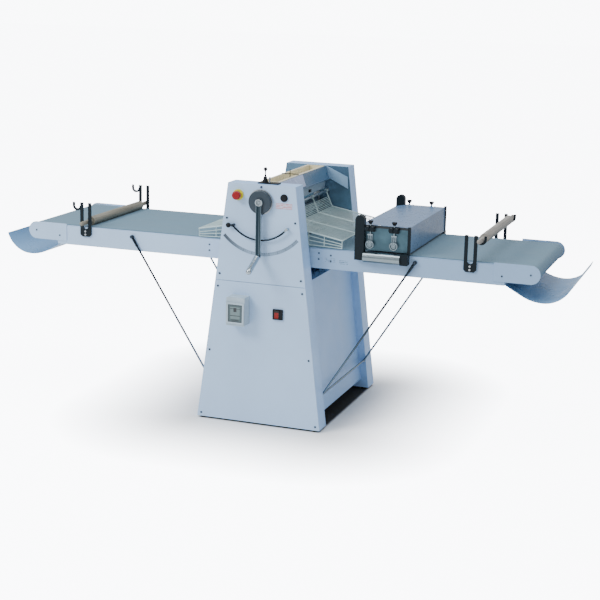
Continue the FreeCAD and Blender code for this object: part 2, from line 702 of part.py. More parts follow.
def lever_guide():
    """Ring behind the hub, and the arc rod on its standoffs with a ball at the left end."""
    ring = rod_y(0, HUB_Z, HUB_RING_RADIUS, FRONT - HUB_RING_DEPTH, FRONT)
    ring = ring.cut(rod_y(0, HUB_Z, HUB_SHAFT_RADIUS + CLEAR, FRONT - 40, FRONT + 1))
    y = FRONT - GUIDE_ROD_OFFSET
    start = 270 - GUIDE_ARC_ANGLE
    end = 270 + GUIDE_ARC_ANGLE
    path = Part.Wire([arc(0, HUB_Z, GUIDE_ARC_RADIUS, start, end)])
    path.translate(V(0, y, 0))
    first = polar(0, HUB_Z, GUIDE_ARC_RADIUS, start)
    tangent = V(-math.sin(math.radians(start)), 0, math.cos(math.radians(start)))
    circle = Part.Wire([Part.makeCircle(GUIDE_ROD_RADIUS, V(first.x, y, first.z), tangent)])
    bar = path.makePipeShell([circle], True, True)
    posts = []
    for angle in (start, end):
        p = polar(0, HUB_Z, GUIDE_ARC_RADIUS, angle)
        posts.append(rod_y(p.x, p.z, 7, y - GUIDE_ROD_RADIUS, FRONT))
    knob = ball(first.x - 22, y, first.z - 1, 12.5)
    stem = rod((first.x, y, first.z), (first.x - 22, y, first.z - 1), 3.5)
    return [ring, fused([bar] + posts + [stem]).cut(knob), knob]


def panel_labels():
    """Scale strip in the groove and the plain plate under the start button."""
    start = 270 - SCALE_ARC_ANGLE + 0.1
    end = 270 + SCALE_ARC_ANGLE - 0.1
    strip = arc_band(0, HUB_Z, SCALE_ARC_RADIUS, SCALE_WIDTH - 0.6, start, end,
                     FRONT + SCALE_GROOVE - SCALE_THICK, FRONT + SCALE_GROOVE)
    width, height = LABEL_SIZE
    plate = box(BUTTON_X - width / 2, BUTTON_X + width / 2, FRONT - 0.8, FRONT,
                LABEL_Z - height / 2, LABEL_Z + height / 2)
    return [strip, plate]


def estop_base():
    base = rod_y(-BUTTON_X, BUTTON_Z, ESTOP_BASE_RADIUS, FRONT - 7, FRONT)
    return [base.cut(rod_y(-BUTTON_X, BUTTON_Z, 10 + CLEAR, FRONT - 8, FRONT + 1))]


def estop_button():
    """Mushroom head on its plunger."""
    stem = rod_y(-BUTTON_X, BUTTON_Z, 10, FRONT - 24, FRONT + 14)
    neck = rod_y(-BUTTON_X, BUTTON_Z, 14, FRONT - 24, FRONT - 14)
    head = rod_y(-BUTTON_X, BUTTON_Z, ESTOP_CAP_RADIUS, FRONT - 38, FRONT - 20)
    front_edges = [e for e in head.Edges if abs(e.CenterOfMass.y - (FRONT - 38)) < 0.01]
    return [fused([stem, neck, head.makeFillet(5, front_edges)])]


def start_button():
    return [rod_y(BUTTON_X, BUTTON_Z, START_RADIUS - 3 - CLEAR, FRONT - 8, FRONT + 6)]


def panel_bezels():
    """Black trim: start button bezel, pilot lamp, rocker frame, joystick plate, boot and grey post."""
    bezel = rod_y(BUTTON_X, BUTTON_Z, START_RADIUS + 2, FRONT - 5, FRONT)
    bezel = bezel.cut(rod_y(BUTTON_X, BUTTON_Z, START_RADIUS - 3, FRONT - 6, FRONT + 1))
    lamp = rod_y(0, LAMP_Z, LAMP_RADIUS, FRONT - 3, FRONT)
    cx, cz = SWITCH_CENTRE
    half = SWITCH_SIZE / 2
    frame = box(cx - half, cx + half, FRONT - 9, FRONT, cz - half, cz + half)
    rx = cx - 5
    pocket = box(rx - ROCKER_SIZE[0] / 2 - 1, rx + ROCKER_SIZE[0] / 2 + 1, FRONT - 10, FRONT - 1.5,
                 cz - ROCKER_SIZE[1] / 2 - 2, cz + ROCKER_SIZE[1] / 2 + 2)
    frame = frame.cut(pocket)
    y = FRONT + TOWER_DEPTH / 2
    top = HEIGHT + JOYSTICK_PLATE
    plate = box(*JOYSTICK_PLATE_X, y - 20, y + 20, HEIGHT, top)
    boot = Part.makeCone(14, 8, JOYSTICK_BOOT - JOYSTICK_PLATE, V(0, y, top), V(0, 0, 1))
    post = rod_z(POST_X, y, 4, top, HEIGHT + POST_TOP)
    return [bezel, lamp, frame, fused([plate, boot]), post]


def joystick():
    """Direction lever with its ball, above the boot."""
    y = FRONT + TOWER_DEPTH / 2
    knee = HEIGHT + JOYSTICK_BOOT + JOYSTICK_KNEE + CLEAR
    stick = rod_z(0, y, 3, knee, HEIGHT + JOYSTICK_BALL_Z)
    pin = rod_y(0, knee, 2, y - JOYSTICK_KNEE - 0.7, y + JOYSTICK_KNEE + 0.7)
    return [fused([stick, ball(0, y, knee, JOYSTICK_KNEE), pin, ball(0, y, HEIGHT + JOYSTICK_BALL_Z, 9.5)])]


def rocker_switch():
    """Red rocker with two shallow slopes, tipped about the middle of its frame."""
    cx, cz = SWITCH_CENTRE
    rx = cx - 5
    half_w = ROCKER_SIZE[0] / 2
    half_h = ROCKER_SIZE[1] / 2
    rise = half_h * math.tan(math.radians(ROCKER_TILT))
    back = FRONT - 3.5
    ring = [
        V(rx - half_w, back, cz - half_h), V(rx - half_w, back - 8, cz - half_h),
        V(rx - half_w, back - 8 + rise, cz), V(rx - half_w, back - 8, cz + half_h),
        V(rx - half_w, back, cz + half_h), V(rx - half_w, back + 1.2, cz),
    ]
    body = Part.Face(Part.makePolygon(ring + ring[:1])).extrude(V(2 * half_w, 0, 0))
    return [fused([body, rod_x(back - 2, cz, 2, rx - half_w - 0.7, rx + half_w + 0.7)])]


def breaker_box():
    """Enclosure with a pocket behind the lid."""
    x0, x1 = BOX_X
    front = FRONT - BOX_DEPTH
    body = box(x0, x1, front, FRONT, BOX_Z[0], BOX_Z[1])
    vertical = [e for e in body.Edges if abs(e.Length - BOX_DEPTH) < 0.01]
    body = body.makeFillet(5, vertical)
    floor = front + POCKET_DEPTH
    low, high = LID_Z
    pocket = box(x0 + 12, x1 - 12, front - 1, floor, low + 10, high - 10)
    breaker = box(x0 + 22, x1 - 22, front + BREAKER_SETBACK, floor + 1, low + 18, high - 18)
    return [body.cut(pocket).fuse(breaker).removeSplitter()]


def breaker_lid():
    """Framed window that swings on the left edge of the box."""
    x0, x1 = BOX_X
    front = FRONT - BOX_DEPTH - CLEAR
    lid = box(x0 + 2, x1 - 2, front - LID_DEPTH, front, LID_Z[0], LID_Z[1])
    window = box(x0 + 11, x1 - 11, front - LID_DEPTH - 1, front + 1, LID_Z[0] + 9, LID_Z[1] - 9)
    glass = box(x0 + 11, x1 - 11, front - LID_DEPTH + 1, front - LID_DEPTH + 3, LID_Z[0] + 9, LID_Z[1] - 9)
    barrel = rod_z(x0 + 2, front - LID_DEPTH / 2, LID_DEPTH / 2, *LID_Z)
    return [fused([lid.cut(window), barrel]), glass]


def breaker_toggle():
    """Drum across the breaker face with its paddle tilted up."""
    x0, x1 = BOX_X
    middle = (x0 + x1) / 2
    y = FRONT - BOX_DEPTH + BREAKER_SETBACK - TOGGLE_RADIUS - CLEAR
    z = (LID_Z[0] + LID_Z[1]) / 2
    drum = rod_x(y, z, TOGGLE_RADIUS, middle - TOGGLE_HALF, middle + TOGGLE_HALF)
    paddle = box(middle - TOGGLE_HALF, middle + TOGGLE_HALF, y - TOGGLE_REACH, y, z - 2, z + 2)
    paddle.rotate(V(middle, y, z), V(1, 0, 0), -TOGGLE_ANGLE)
    return [fused([drum, paddle])]


# ---------------------------------------------------------------- tables, drawn for the right-hand side
def table_frame():
    """Side plates with their lower flanges, end plates, cross rails, slider bed and strut pins."""
    y = TABLE_HALF
    pieces = []
    side = box(TABLE_INNER_X, TABLE_OUTER_X, -y, -y + SHEET, TABLE_SIDE_BOTTOM, TABLE_SIDE_TOP)
    flange = box(TABLE_INNER_X, TABLE_OUTER_X - FLANGE_SHORT, -y, -y + TABLE_FLANGE,
                 TABLE_SIDE_BOTTOM, TABLE_SIDE_BOTTOM + SHEET)
    end = stadium(END_PLATE_INNER_X, END_AXIS_X, BELT_AXIS_Z, END_NOSE_RADIUS, -y - SHEET, -y)
    square = box(END_PLATE_INNER_X - 60, END_PLATE_INNER_X, -y - SHEET - 1, -y + 1, 700, 900)
    end = end.cut(square)
    for x, z in ((END_PLATE_INNER_X + 39, BELT_AXIS_Z - 17), (END_AXIS_X, BELT_AXIS_Z)):
        pieces += both_y(rod_y(x, z, BOLT_RADIUS, -y - SHEET - 2, -y - SHEET))
    plate = fused([side, flange])
    cuts = [
        rod_y(PIVOT_X, PIVOT_Z, PIVOT_RADIUS + CLEAR, -y - 1, -y + SHEET + 1),
        rod_y(DRIVE_AXIS_X, BELT_AXIS_Z, TABLE_SHAFT_RADIUS + CLEAR, -y - 1, -y + SHEET + 1),
    ]
    plate = plate.cut(cuts)
    for x, z in SIDE_BOLTS:
        pieces += both_y(rod_y(x, z, BOLT_RADIUS, -y - 2, -y))
    end = end.cut(rod_y(END_AXIS_X, BELT_AXIS_Z, TABLE_SHAFT_RADIUS + CLEAR, -y - SHEET + 1, -y + 1))
    pieces += both_y(fused([plate, end]))
    inside = y - SHEET
    rail_top = TABLE_SIDE_BOTTOM + RAIL_HEIGHT
    for x in RAIL_X:
        pieces.append(box(x, x + RAIL_WIDTH, -inside, inside, TABLE_SIDE_BOTTOM + SHEET, rail_top))
    last = TABLE_OUTER_X - FLANGE_SHORT
    pieces.append(box(last, TABLE_OUTER_X, -inside, inside, TABLE_SIDE_BOTTOM, rail_top))
    bed_top = TABLE_TOP - BELT_THICKNESS - CLEAR
    bed = box(DRIVE_AXIS_X + 45, END_AXIS_X - 45, -inside, inside, bed_top - BED_THICKNESS, bed_top)
    pieces.append(bed)
    pin_x, pin_z = STRUT_TOP
    pieces += both_y(rod_y(pin_x, pin_z, 4, -y, -INNER + 2))
    return pieces


def conveyor_belt():
    outer = stadium(DRIVE_AXIS_X, END_AXIS_X, BELT_AXIS_Z, BELT_OUTER_RADIUS, -BELT_HALF, BELT_HALF)
    inner_radius = BELT_OUTER_RADIUS - BELT_THICKNESS
    inner = stadium(DRIVE_AXIS_X, END_AXIS_X, BELT_AXIS_Z, inner_radius, -BELT_HALF - 1, BELT_HALF + 1)
    return [outer.cut(inner)]


def table_roller(x, reach):
    """Belt roller with stub shafts that end in the table plates."""
    radius = BELT_OUTER_RADIUS - BELT_THICKNESS - CLEAR
    body = rod_y(x, BELT_AXIS_Z, radius, -BELT_HALF - 3, BELT_HALF + 3)
    return [fused([body, rod_y(x, BELT_AXIS_Z, TABLE_SHAFT_RADIUS, -reach, reach)])]


def catch_tray():
    """Bent scoop below the end roller: flange, ramp, long curve and upturned lip."""
    start = 270 - TRAY_INNER_ANGLE
    lip = 270 + TRAY_LIP_ANGLE
    inner_z = TRAY_LOW_Z + TRAY_INNER_RADIUS
    outer_z = TRAY_LOW_Z + TRAY_OUTER_RADIUS
    flange_top = TABLE_SIDE_BOTTOM - CLEAR
    flange_x = END_AXIS_X - TRAY_FLANGE_BEHIND

    def chain(extra, flange_z):
        """Bend points of one face of the sheet."""
        ramp_end = polar(TRAY_LOW_X, inner_z, TRAY_INNER_RADIUS + extra, start)
        slope = math.tan(math.radians(TRAY_INNER_ANGLE))
        ramp_start = point(ramp_end.x - (flange_z - ramp_end.z) / slope, flange_z)
        return point(flange_x, flange_z), ramp_start, ramp_end

    f0, r0, e0 = chain(0, flange_top)
    f1, r1, e1 = chain(TRAY_SHEET, flange_top - TRAY_SHEET)
    edges = [
        line(f0, r0),
        line(r0, e0),
        arc(TRAY_LOW_X, inner_z, TRAY_INNER_RADIUS, start, 270),
        arc(TRAY_LOW_X, outer_z, TRAY_OUTER_RADIUS, 270, lip),
        line(polar(TRAY_LOW_X, outer_z, TRAY_OUTER_RADIUS, lip),
             polar(TRAY_LOW_X, outer_z, TRAY_OUTER_RADIUS + TRAY_SHEET, lip)),
        arc(TRAY_LOW_X, outer_z, TRAY_OUTER_RADIUS + TRAY_SHEET, lip, 270),
        arc(TRAY_LOW_X, inner_z, TRAY_INNER_RADIUS + TRAY_SHEET, 270, start),
        line(e1, r1),
        line(r1, f1),
        line(f1, f0),
    ]
    return [face_prism(edges, -TRAY_WIDTH / 2, TRAY_WIDTH / 2)]


def strut():
    """U-shaped support: two arms with forked ends at the table, one crossbar on the base ledges."""
    top = V(STRUT_TOP[0], -STRUT_Y, STRUT_TOP[1])
    foot = V(STRUT_FOOT[0], -STRUT_Y, STRUT_FOOT[1])
    way = (foot - top).normalize()
    arm = Part.makeCylinder(STRUT_RADIUS, (foot - top).Length - 30, top + way * 30, way)
    socket = Part.makeCylinder(6.5, 26, top + way * 28, way)
    eye = rod_y(top.x, top.z, 9, -STRUT_Y - 6.5, -STRUT_Y + 6.5)
    neck = Part.makeCylinder(6.5, 30, top, way)
    end = fused([arm, socket, eye, neck, ball(foot.x, foot.y, foot.z, STRUT_RADIUS)])
    end = end.cut(rod_y(top.x, top.z, 4 + CLEAR, -INNER, -STRUT_Y + 20))
    bar = rod_y(foot.x, foot.z, STRUT_RADIUS, -STRUT_Y, STRUT_Y)
    return [fused(both_y(end) + [bar])]


def pin_forks():
    """Pair of plates with a U slot between prongs and an upper hook on the outer prong, with bolts."""
    y = -TABLE_HALF - FORK_PLATE
    half = FORK_SLOT / 2
    wide = half + FORK_PRONG
    body = box(FORK_X - wide, FORK_X + wide, y, y + FORK_PLATE, FORK_BASE_Z, FORK_TOP)
    slot = box(FORK_X - half, FORK_X + half, y - 1, y + FORK_PLATE + 1, FORK_SLOT_Z + half, FORK_TOP + 1)
    slot_end = rod_y(FORK_X, FORK_SLOT_Z + half, half, y - 1, y + FORK_PLATE + 1)
    plate = body.cut([slot, slot_end])
    mid = HOOK_RADIUS + HOOK_WIDTH / 2
    hook = arc_band(HOOK_X, HOOK_Z, mid, HOOK_WIDTH, 180, 360, y, y + FORK_PLATE)
    tip = box(HOOK_X + HOOK_RADIUS, HOOK_X + HOOK_RADIUS + HOOK_WIDTH, y, y + FORK_PLATE, HOOK_Z, FORK_TOP)
    chamfer = 10.0
    corners = []
    for side in (-1, 1):
        x = FORK_X + side * wide
        corner = [(x, FORK_BASE_Z), (x - side * chamfer, FORK_BASE_Z), (x, FORK_BASE_Z + chamfer)]
        corners.append(prism(corner, y - 1, y + FORK_PLATE + 1))
    plate = fused([plate, hook, tip]).cut(corners)
    bolts = [rod_y(FORK_X, FORK_BASE_Z + rise, 5, y - 4, y) for rise in (11, 27)]
    pieces = [plate] + bolts
    return pieces + [mirror_y(piece) for piece in pieces]


def rolling_pin(x, z):
    """Turned pin: barrel and two handles with rounded ends."""
    half = PIN_BODY / 2
    pieces = [rod_y(x, z, PIN_RADIUS, -half, half)]
    for side in (-1, 1):
        reach = side * (half + PIN_HANDLE - PIN_HANDLE_RADIUS)
        pieces.append(rod_y(x, z, PIN_HANDLE_RADIUS, 0, reach))
        pieces.append(ball(x, reach, z, PIN_HANDLE_RADIUS))
    return [fused(pieces)]


# ---------------------------------------------------------------- guards, drawn for the right-hand side
def guard_rod():
    """Pivot rod of the guard between the towers, with driving dogs at its ends."""
    bar = rod_y(GUARD_AXIS_X, GUARD_AXIS_Z, GUARD_ROD_RADIUS, -INNER - 20, INNER + 20)
    collars = both_y(rod_y(GUARD_AXIS_X, GUARD_AXIS_Z, GUARD_ROD_RADIUS + 4, -INNER + 1, -INNER + 7))
    return [fused([bar] + collars)]


def guard():
    """Welded wire guard: bent frames, cross wires, side skirts and sleeves on the rod."""
    cx, cz = GUARD_CREASE
    tx, tz = GUARD_TIP
    ax, az = GUARD_AXIS_X, GUARD_AXIS_Z
    pieces = []
    for y in (-GUARD_Y, -110, 110, GUARD_Y):
        radius = GUARD_FRAME_RADIUS
        pieces.append(rod((ax, y, az), (cx, y, cz), radius))
        pieces.append(ball(cx, y, cz, radius))
        pieces.append(rod((cx, y, cz), (tx, y, tz), radius))
    for y in (-GUARD_Y, -110, 110, GUARD_Y):
        pieces.append(rod_y(ax, az, GUARD_SLEEVE_RADIUS, y - 5, y + 5))
    runs = (((ax, az), (cx, cz), 24.0), ((cx, cz), (tx, tz), 0.0))
    for (x0, z0), (x1, z1), skip in runs:
        length = math.hypot(x1 - x0, z1 - z0)
        count = int((length - skip) / GUARD_WIRE_PITCH)
        for i in range(1, count + 1):
            t = (skip + i * (length - skip) / count) / length
            x = x0 + (x1 - x0) * t
            z = z0 + (z1 - z0) * t
            pieces.append(rod_y(x, z, GUARD_WIRE_RADIUS, -GUARD_Y, GUARD_Y))
    pieces.append(rod_y(tx, tz, GUARD_FRAME_RADIUS, -GUARD_Y, GUARD_Y))
    for y in (-GUARD_Y, GUARD_Y):
        for (x0, z0), (x1, z1) in zip(GUARD_SKIRT_INNER, GUARD_SKIRT_OUTER):
            pieces.append(rod((x0, y, z0), (x1, y, z1), 2))
        for t in (0.0, 0.47, 1.0):
            x = GUARD_SKIRT_INNER[0][0] + (GUARD_SKIRT_OUTER[0][0] - GUARD_SKIRT_INNER[0][0]) * t
            top = cz + (tz - cz) * (x - cx) / (tx - cx)
            low = GUARD_SKIRT_INNER[2][1] + (GUARD_SKIRT_OUTER[2][1] - GUARD_SKIRT_INNER[2][1]) * t
            pieces.append(rod_z(x, y, 2, low, top))
    body = fused(pieces)
    return [body.cut(rod_y(ax, az, GUARD_ROD_RADIUS + CLEAR, -INNER, INNER))]


# ---------------------------------------------------------------- cutting station
def station_frame():
    """Black frame: blocks beside the table, lower end blocks, edge strips, cross beam and clamp knobs."""
    y = STATION_Y
    depth = STATION_BLOCK_DEPTH
    x0, x1 = STATION_BLOCK_X
    z0, z1 = STATION_BLOCK_Z
    block = box(x0, x1, -y - depth, -y, z0, z1 - 24)
    cap = rod_y((x0 + x1) / 2, z1 - (x1 - x0) / 2, (x1 - x0) / 2, -y - depth, -y)
    block = fused([block, cap])
    pieces = both_y(block)
    pieces += both_y(box(STATION_END_X[0], STATION_END_X[1], -y - 40, -y, STATION_END_Z[0], STATION_END_Z[1]))
    pieces += both_y(box(STATION_END_X[1] - 8, STATION_END_X[1] + 4, -y - 16, -y - 4.3,
                         STATION_END_Z[1] + CLEAR, STATION_TOP_Z + 4))
    pieces.append(box(x0 + 10, x1 - 10, -y, y, *BEAM_HEIGHTS))
    near = -y - STATION_PLATE
    for x in STATION_ROLLER_X:
        for offset in (-WHEEL_OFFSET, WHEEL_OFFSET):
            pieces += both_y(rod_y(x + offset, YOKE_Z[1] - WHEEL_RADIUS, WHEEL_RADIUS, near - 30, near - 13))
        yoke = box(x - YOKE_HALF, x + YOKE_HALF, near - 13, near, *YOKE_Z)
        yoke = yoke.cut(box(x - 6, x + 6, near - 10, near - 1.5, YOKE_Z[0] - 1, YOKE_Z[1] + 1))
        pieces += both_y(yoke)
    return pieces


def station_plates():
    """Steel side plates with slots for the roller shafts, and the polished tubes along the table."""
    y = STATION_Y
    plate = box(STATION_BLOCK_X[1] + CLEAR, STATION_END_X[1] + 4, -y - STATION_PLATE, -y,
                STATION_PLATE_Z, STATION_TOP_Z - 2)
    slot = STATION_SHAFT_RADIUS + CLEAR
    top = STATION_ROLLER_Z + STATION_LIFT
    for x in STATION_ROLLER_X:
        for z in (STATION_ROLLER_Z, top):
            plate = plate.cut(rod_y(x, z, slot, -y - STATION_PLATE - 1, -y + 1))
        plate = plate.cut(box(x - slot, x + slot, -y - STATION_PLATE - 1, -y + 1, STATION_ROLLER_Z, top))
    tube_y = -TABLE_HALF - STATION_TUBE_RADIUS - 2
    tube = rod_x(tube_y, 862, STATION_TUBE_RADIUS, STATION_BLOCK_X[1], STATION_END_X[0])
    return both_y(plate) + both_y(tube)


def station_cover():
    """Folded pale cover: sloping lead-in, flat top and the outer face."""
    half = STATION_Y - CLEAR
    z = STATION_TOP_Z
    right = STATION_END_X[1] - 4
    outline = [
        (440, z - 12), (502, z), (right + 2, z), (right + 4, 890), (right + 2, 890),
        (right, z - 2), (502, z - 2), (440, z - 14),
    ]
    return [prism(outline, -half, half)]


def station_roller(x, grooved):
    """Roller across the table; the cutting roller carries raised rings."""
    body = rod_y(x, STATION_ROLLER_Z, STATION_ROLLER_RADIUS - (5 if grooved else 0), -300, 300)
    shaft = rod_y(x, STATION_ROLLER_Z, STATION_SHAFT_RADIUS, -STATION_Y - 12, STATION_Y + 12)
    pieces = [body, shaft]
    if grooved:
        for i in range(7):
            y = -270 + i * 90
            pieces.append(rod_y(x, STATION_ROLLER_Z, STATION_ROLLER_RADIUS, y - 2, y + 2))
    return [fused(pieces)]


def station_carriage(x):
    """Bearing, stem and knob that set the height of one roller, on both sides of the table."""
    y = -STATION_Y - STATION_PLATE - CLEAR
    bearing = rod_y(x, STATION_ROLLER_Z, STATION_BEARING_RADIUS, y - 14, y)
    bearing = bearing.cut(rod_y(x, STATION_ROLLER_Z, STATION_SHAFT_RADIUS + CLEAR, y - 9, y + 1))
    stem_y = y - 5.5
    stem = rod_z(x, stem_y, 3.8, STATION_ROLLER_Z + 18, KNOB_BASE_Z + 2)
    bridge_top = YOKE_Z[0] - STATION_LIFT - 1
    fork = [rod_z(x + offset, stem_y, 3, STATION_ROLLER_Z + 14, bridge_top - 1) for offset in (-9, 9)]
    yoke = box(x - 13, x + 13, stem_y - 4, stem_y + 4, bridge_top - 7, bridge_top)
    knob = fused([
        Part.makeCone(6, KNOB_RADIUS, 10, V(x, stem_y, KNOB_BASE_Z), V(0, 0, 1)),
        rod_z(x, stem_y, KNOB_RADIUS, KNOB_BASE_Z + 10, KNOB_BASE_Z + 16),
    ])
    metal = fused([bearing, stem.cut(knob), yoke] + fork)
    return both_y(metal) + both_y(knob)


# ---------------------------------------------------------------- output
def main():
    os.makedirs("parts", exist_ok=True)
    save("front_tower", front_tower())
    save("rear_tower", rear_tower())
    save("front_upper_cover", [front_upper_cover()])
    save("front_lower_cover", [front_lower_cover()])
    save("rear_covers", rear_covers())
    save("cover_screws", cover_screws())
    save("base_frame", base_frame())
    save("skirt_panels", skirt_panels())
    save("levelling_feet", levelling_feet())
    save("motor_unit", motor_unit())
    save("motor_sprocket", motor_sprocket())
    save("drive_chain", drive_chain())
    save("lower_roller", lower_roller())
    save("upper_roller", upper_roller())
    save("roller_carriage", roller_carriage())
    save("roller_mounts", roller_mounts())
    save("adjusting_shaft", adjusting_shaft())
    save("hood", hood())
    save("head_panels", head_panels())
    save("flour_tray", flour_tray())
    save("thickness_lever", thickness_lever())
    save("lever_handle", lever_handle())
    save("lever_guide", lever_guide())
    save("panel_labels", panel_labels())
    save("estop_base", estop_base())
    save("estop_button", estop_button())
    save("start_button", start_button())
    save("panel_bezels", panel_bezels())
    save("joystick", joystick())
    save("rocker_switch", rocker_switch())
    save("breaker_box", breaker_box())
    save("breaker_lid", breaker_lid())
    save("breaker_toggle", breaker_toggle())
    tables = {
        "table_frame": table_frame(),
        "conveyor_belt": conveyor_belt(),
        "drive_roller": table_roller(DRIVE_AXIS_X, TABLE_HALF),
        "end_roller": table_roller(END_AXIS_X, TABLE_HALF + SHEET / 2),
        "catch_tray": catch_tray(),
        "strut": strut(),
        "pin_forks": pin_forks(),
        "guard_rod": guard_rod(),
        "guard": guard(),
    }
    for name, pieces in tables.items():
        save("right_" + name, pieces)
        save("left_" + name, [mirror_x(piece) for piece in pieces])
    save("left_rolling_pin", rolling_pin(-FORK_X, TABLE_TOP + PIN_RADIUS + CLEAR))
    hook_rest = HOOK_Z - HOOK_RADIUS + PIN_HANDLE_RADIUS + CLEAR
    save("right_rolling_pin", rolling_pin(HOOK_X, hook_rest))
    save("station_frame", station_frame())
    save("station_plates", station_plates())
    save("station_cover", station_cover())
    save("calibrating_roller", station_roller(STATION_ROLLER_X[0], False))
    save("cutting_roller", station_roller(STATION_ROLLER_X[1], True))
    save("calibrating_carriage", station_carriage(STATION_ROLLER_X[0]))
    save("cutting_carriage", station_carriage(STATION_ROLLER_X[1]))


main()
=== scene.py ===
import json
import math
import random

import bpy
from mathutils import Matrix, Vector


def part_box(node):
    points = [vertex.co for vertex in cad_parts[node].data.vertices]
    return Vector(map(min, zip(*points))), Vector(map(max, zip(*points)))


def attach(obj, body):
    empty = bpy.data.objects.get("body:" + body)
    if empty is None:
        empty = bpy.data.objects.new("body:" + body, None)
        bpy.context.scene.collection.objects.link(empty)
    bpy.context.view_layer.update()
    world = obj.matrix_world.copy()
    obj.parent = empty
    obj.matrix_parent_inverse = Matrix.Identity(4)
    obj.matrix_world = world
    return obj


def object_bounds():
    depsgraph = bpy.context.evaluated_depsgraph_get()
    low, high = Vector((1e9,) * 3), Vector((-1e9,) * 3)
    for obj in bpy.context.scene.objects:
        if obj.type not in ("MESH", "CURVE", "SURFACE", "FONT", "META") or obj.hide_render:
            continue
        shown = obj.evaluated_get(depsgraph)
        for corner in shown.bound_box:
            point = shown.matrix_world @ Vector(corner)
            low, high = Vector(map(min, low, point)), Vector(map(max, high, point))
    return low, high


SEED = 7
random.seed(SEED)   # nothing draws yet; a later draw would repeat
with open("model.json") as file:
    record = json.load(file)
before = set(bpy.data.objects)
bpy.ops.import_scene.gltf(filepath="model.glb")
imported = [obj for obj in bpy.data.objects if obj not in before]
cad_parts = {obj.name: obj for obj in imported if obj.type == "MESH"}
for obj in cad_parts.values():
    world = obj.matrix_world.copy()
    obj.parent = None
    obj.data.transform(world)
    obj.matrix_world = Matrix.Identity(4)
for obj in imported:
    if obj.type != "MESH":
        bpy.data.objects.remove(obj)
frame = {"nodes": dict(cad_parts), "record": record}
cad_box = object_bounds()
nodes = frame["nodes"]
joints = {j["name"]: j for j in frame["record"]["behaviour"]["joints"]}
slots = {s["node"]: s["material_slot"] for s in frame["record"]["subparts"]}


# ------------------------------------------------------------------ material tools
# Print is rows of strokes: half the inked share of a row, and the noise level below which a stroke or a
# word is blank.
ROW_INK = 0.24
STROKE_GAP = 0.47
WORD_GAP = 0.40
WORDS_PER_METRE = 70
FLAT = 0.01          # keeps a pattern the same through the depth of a piece


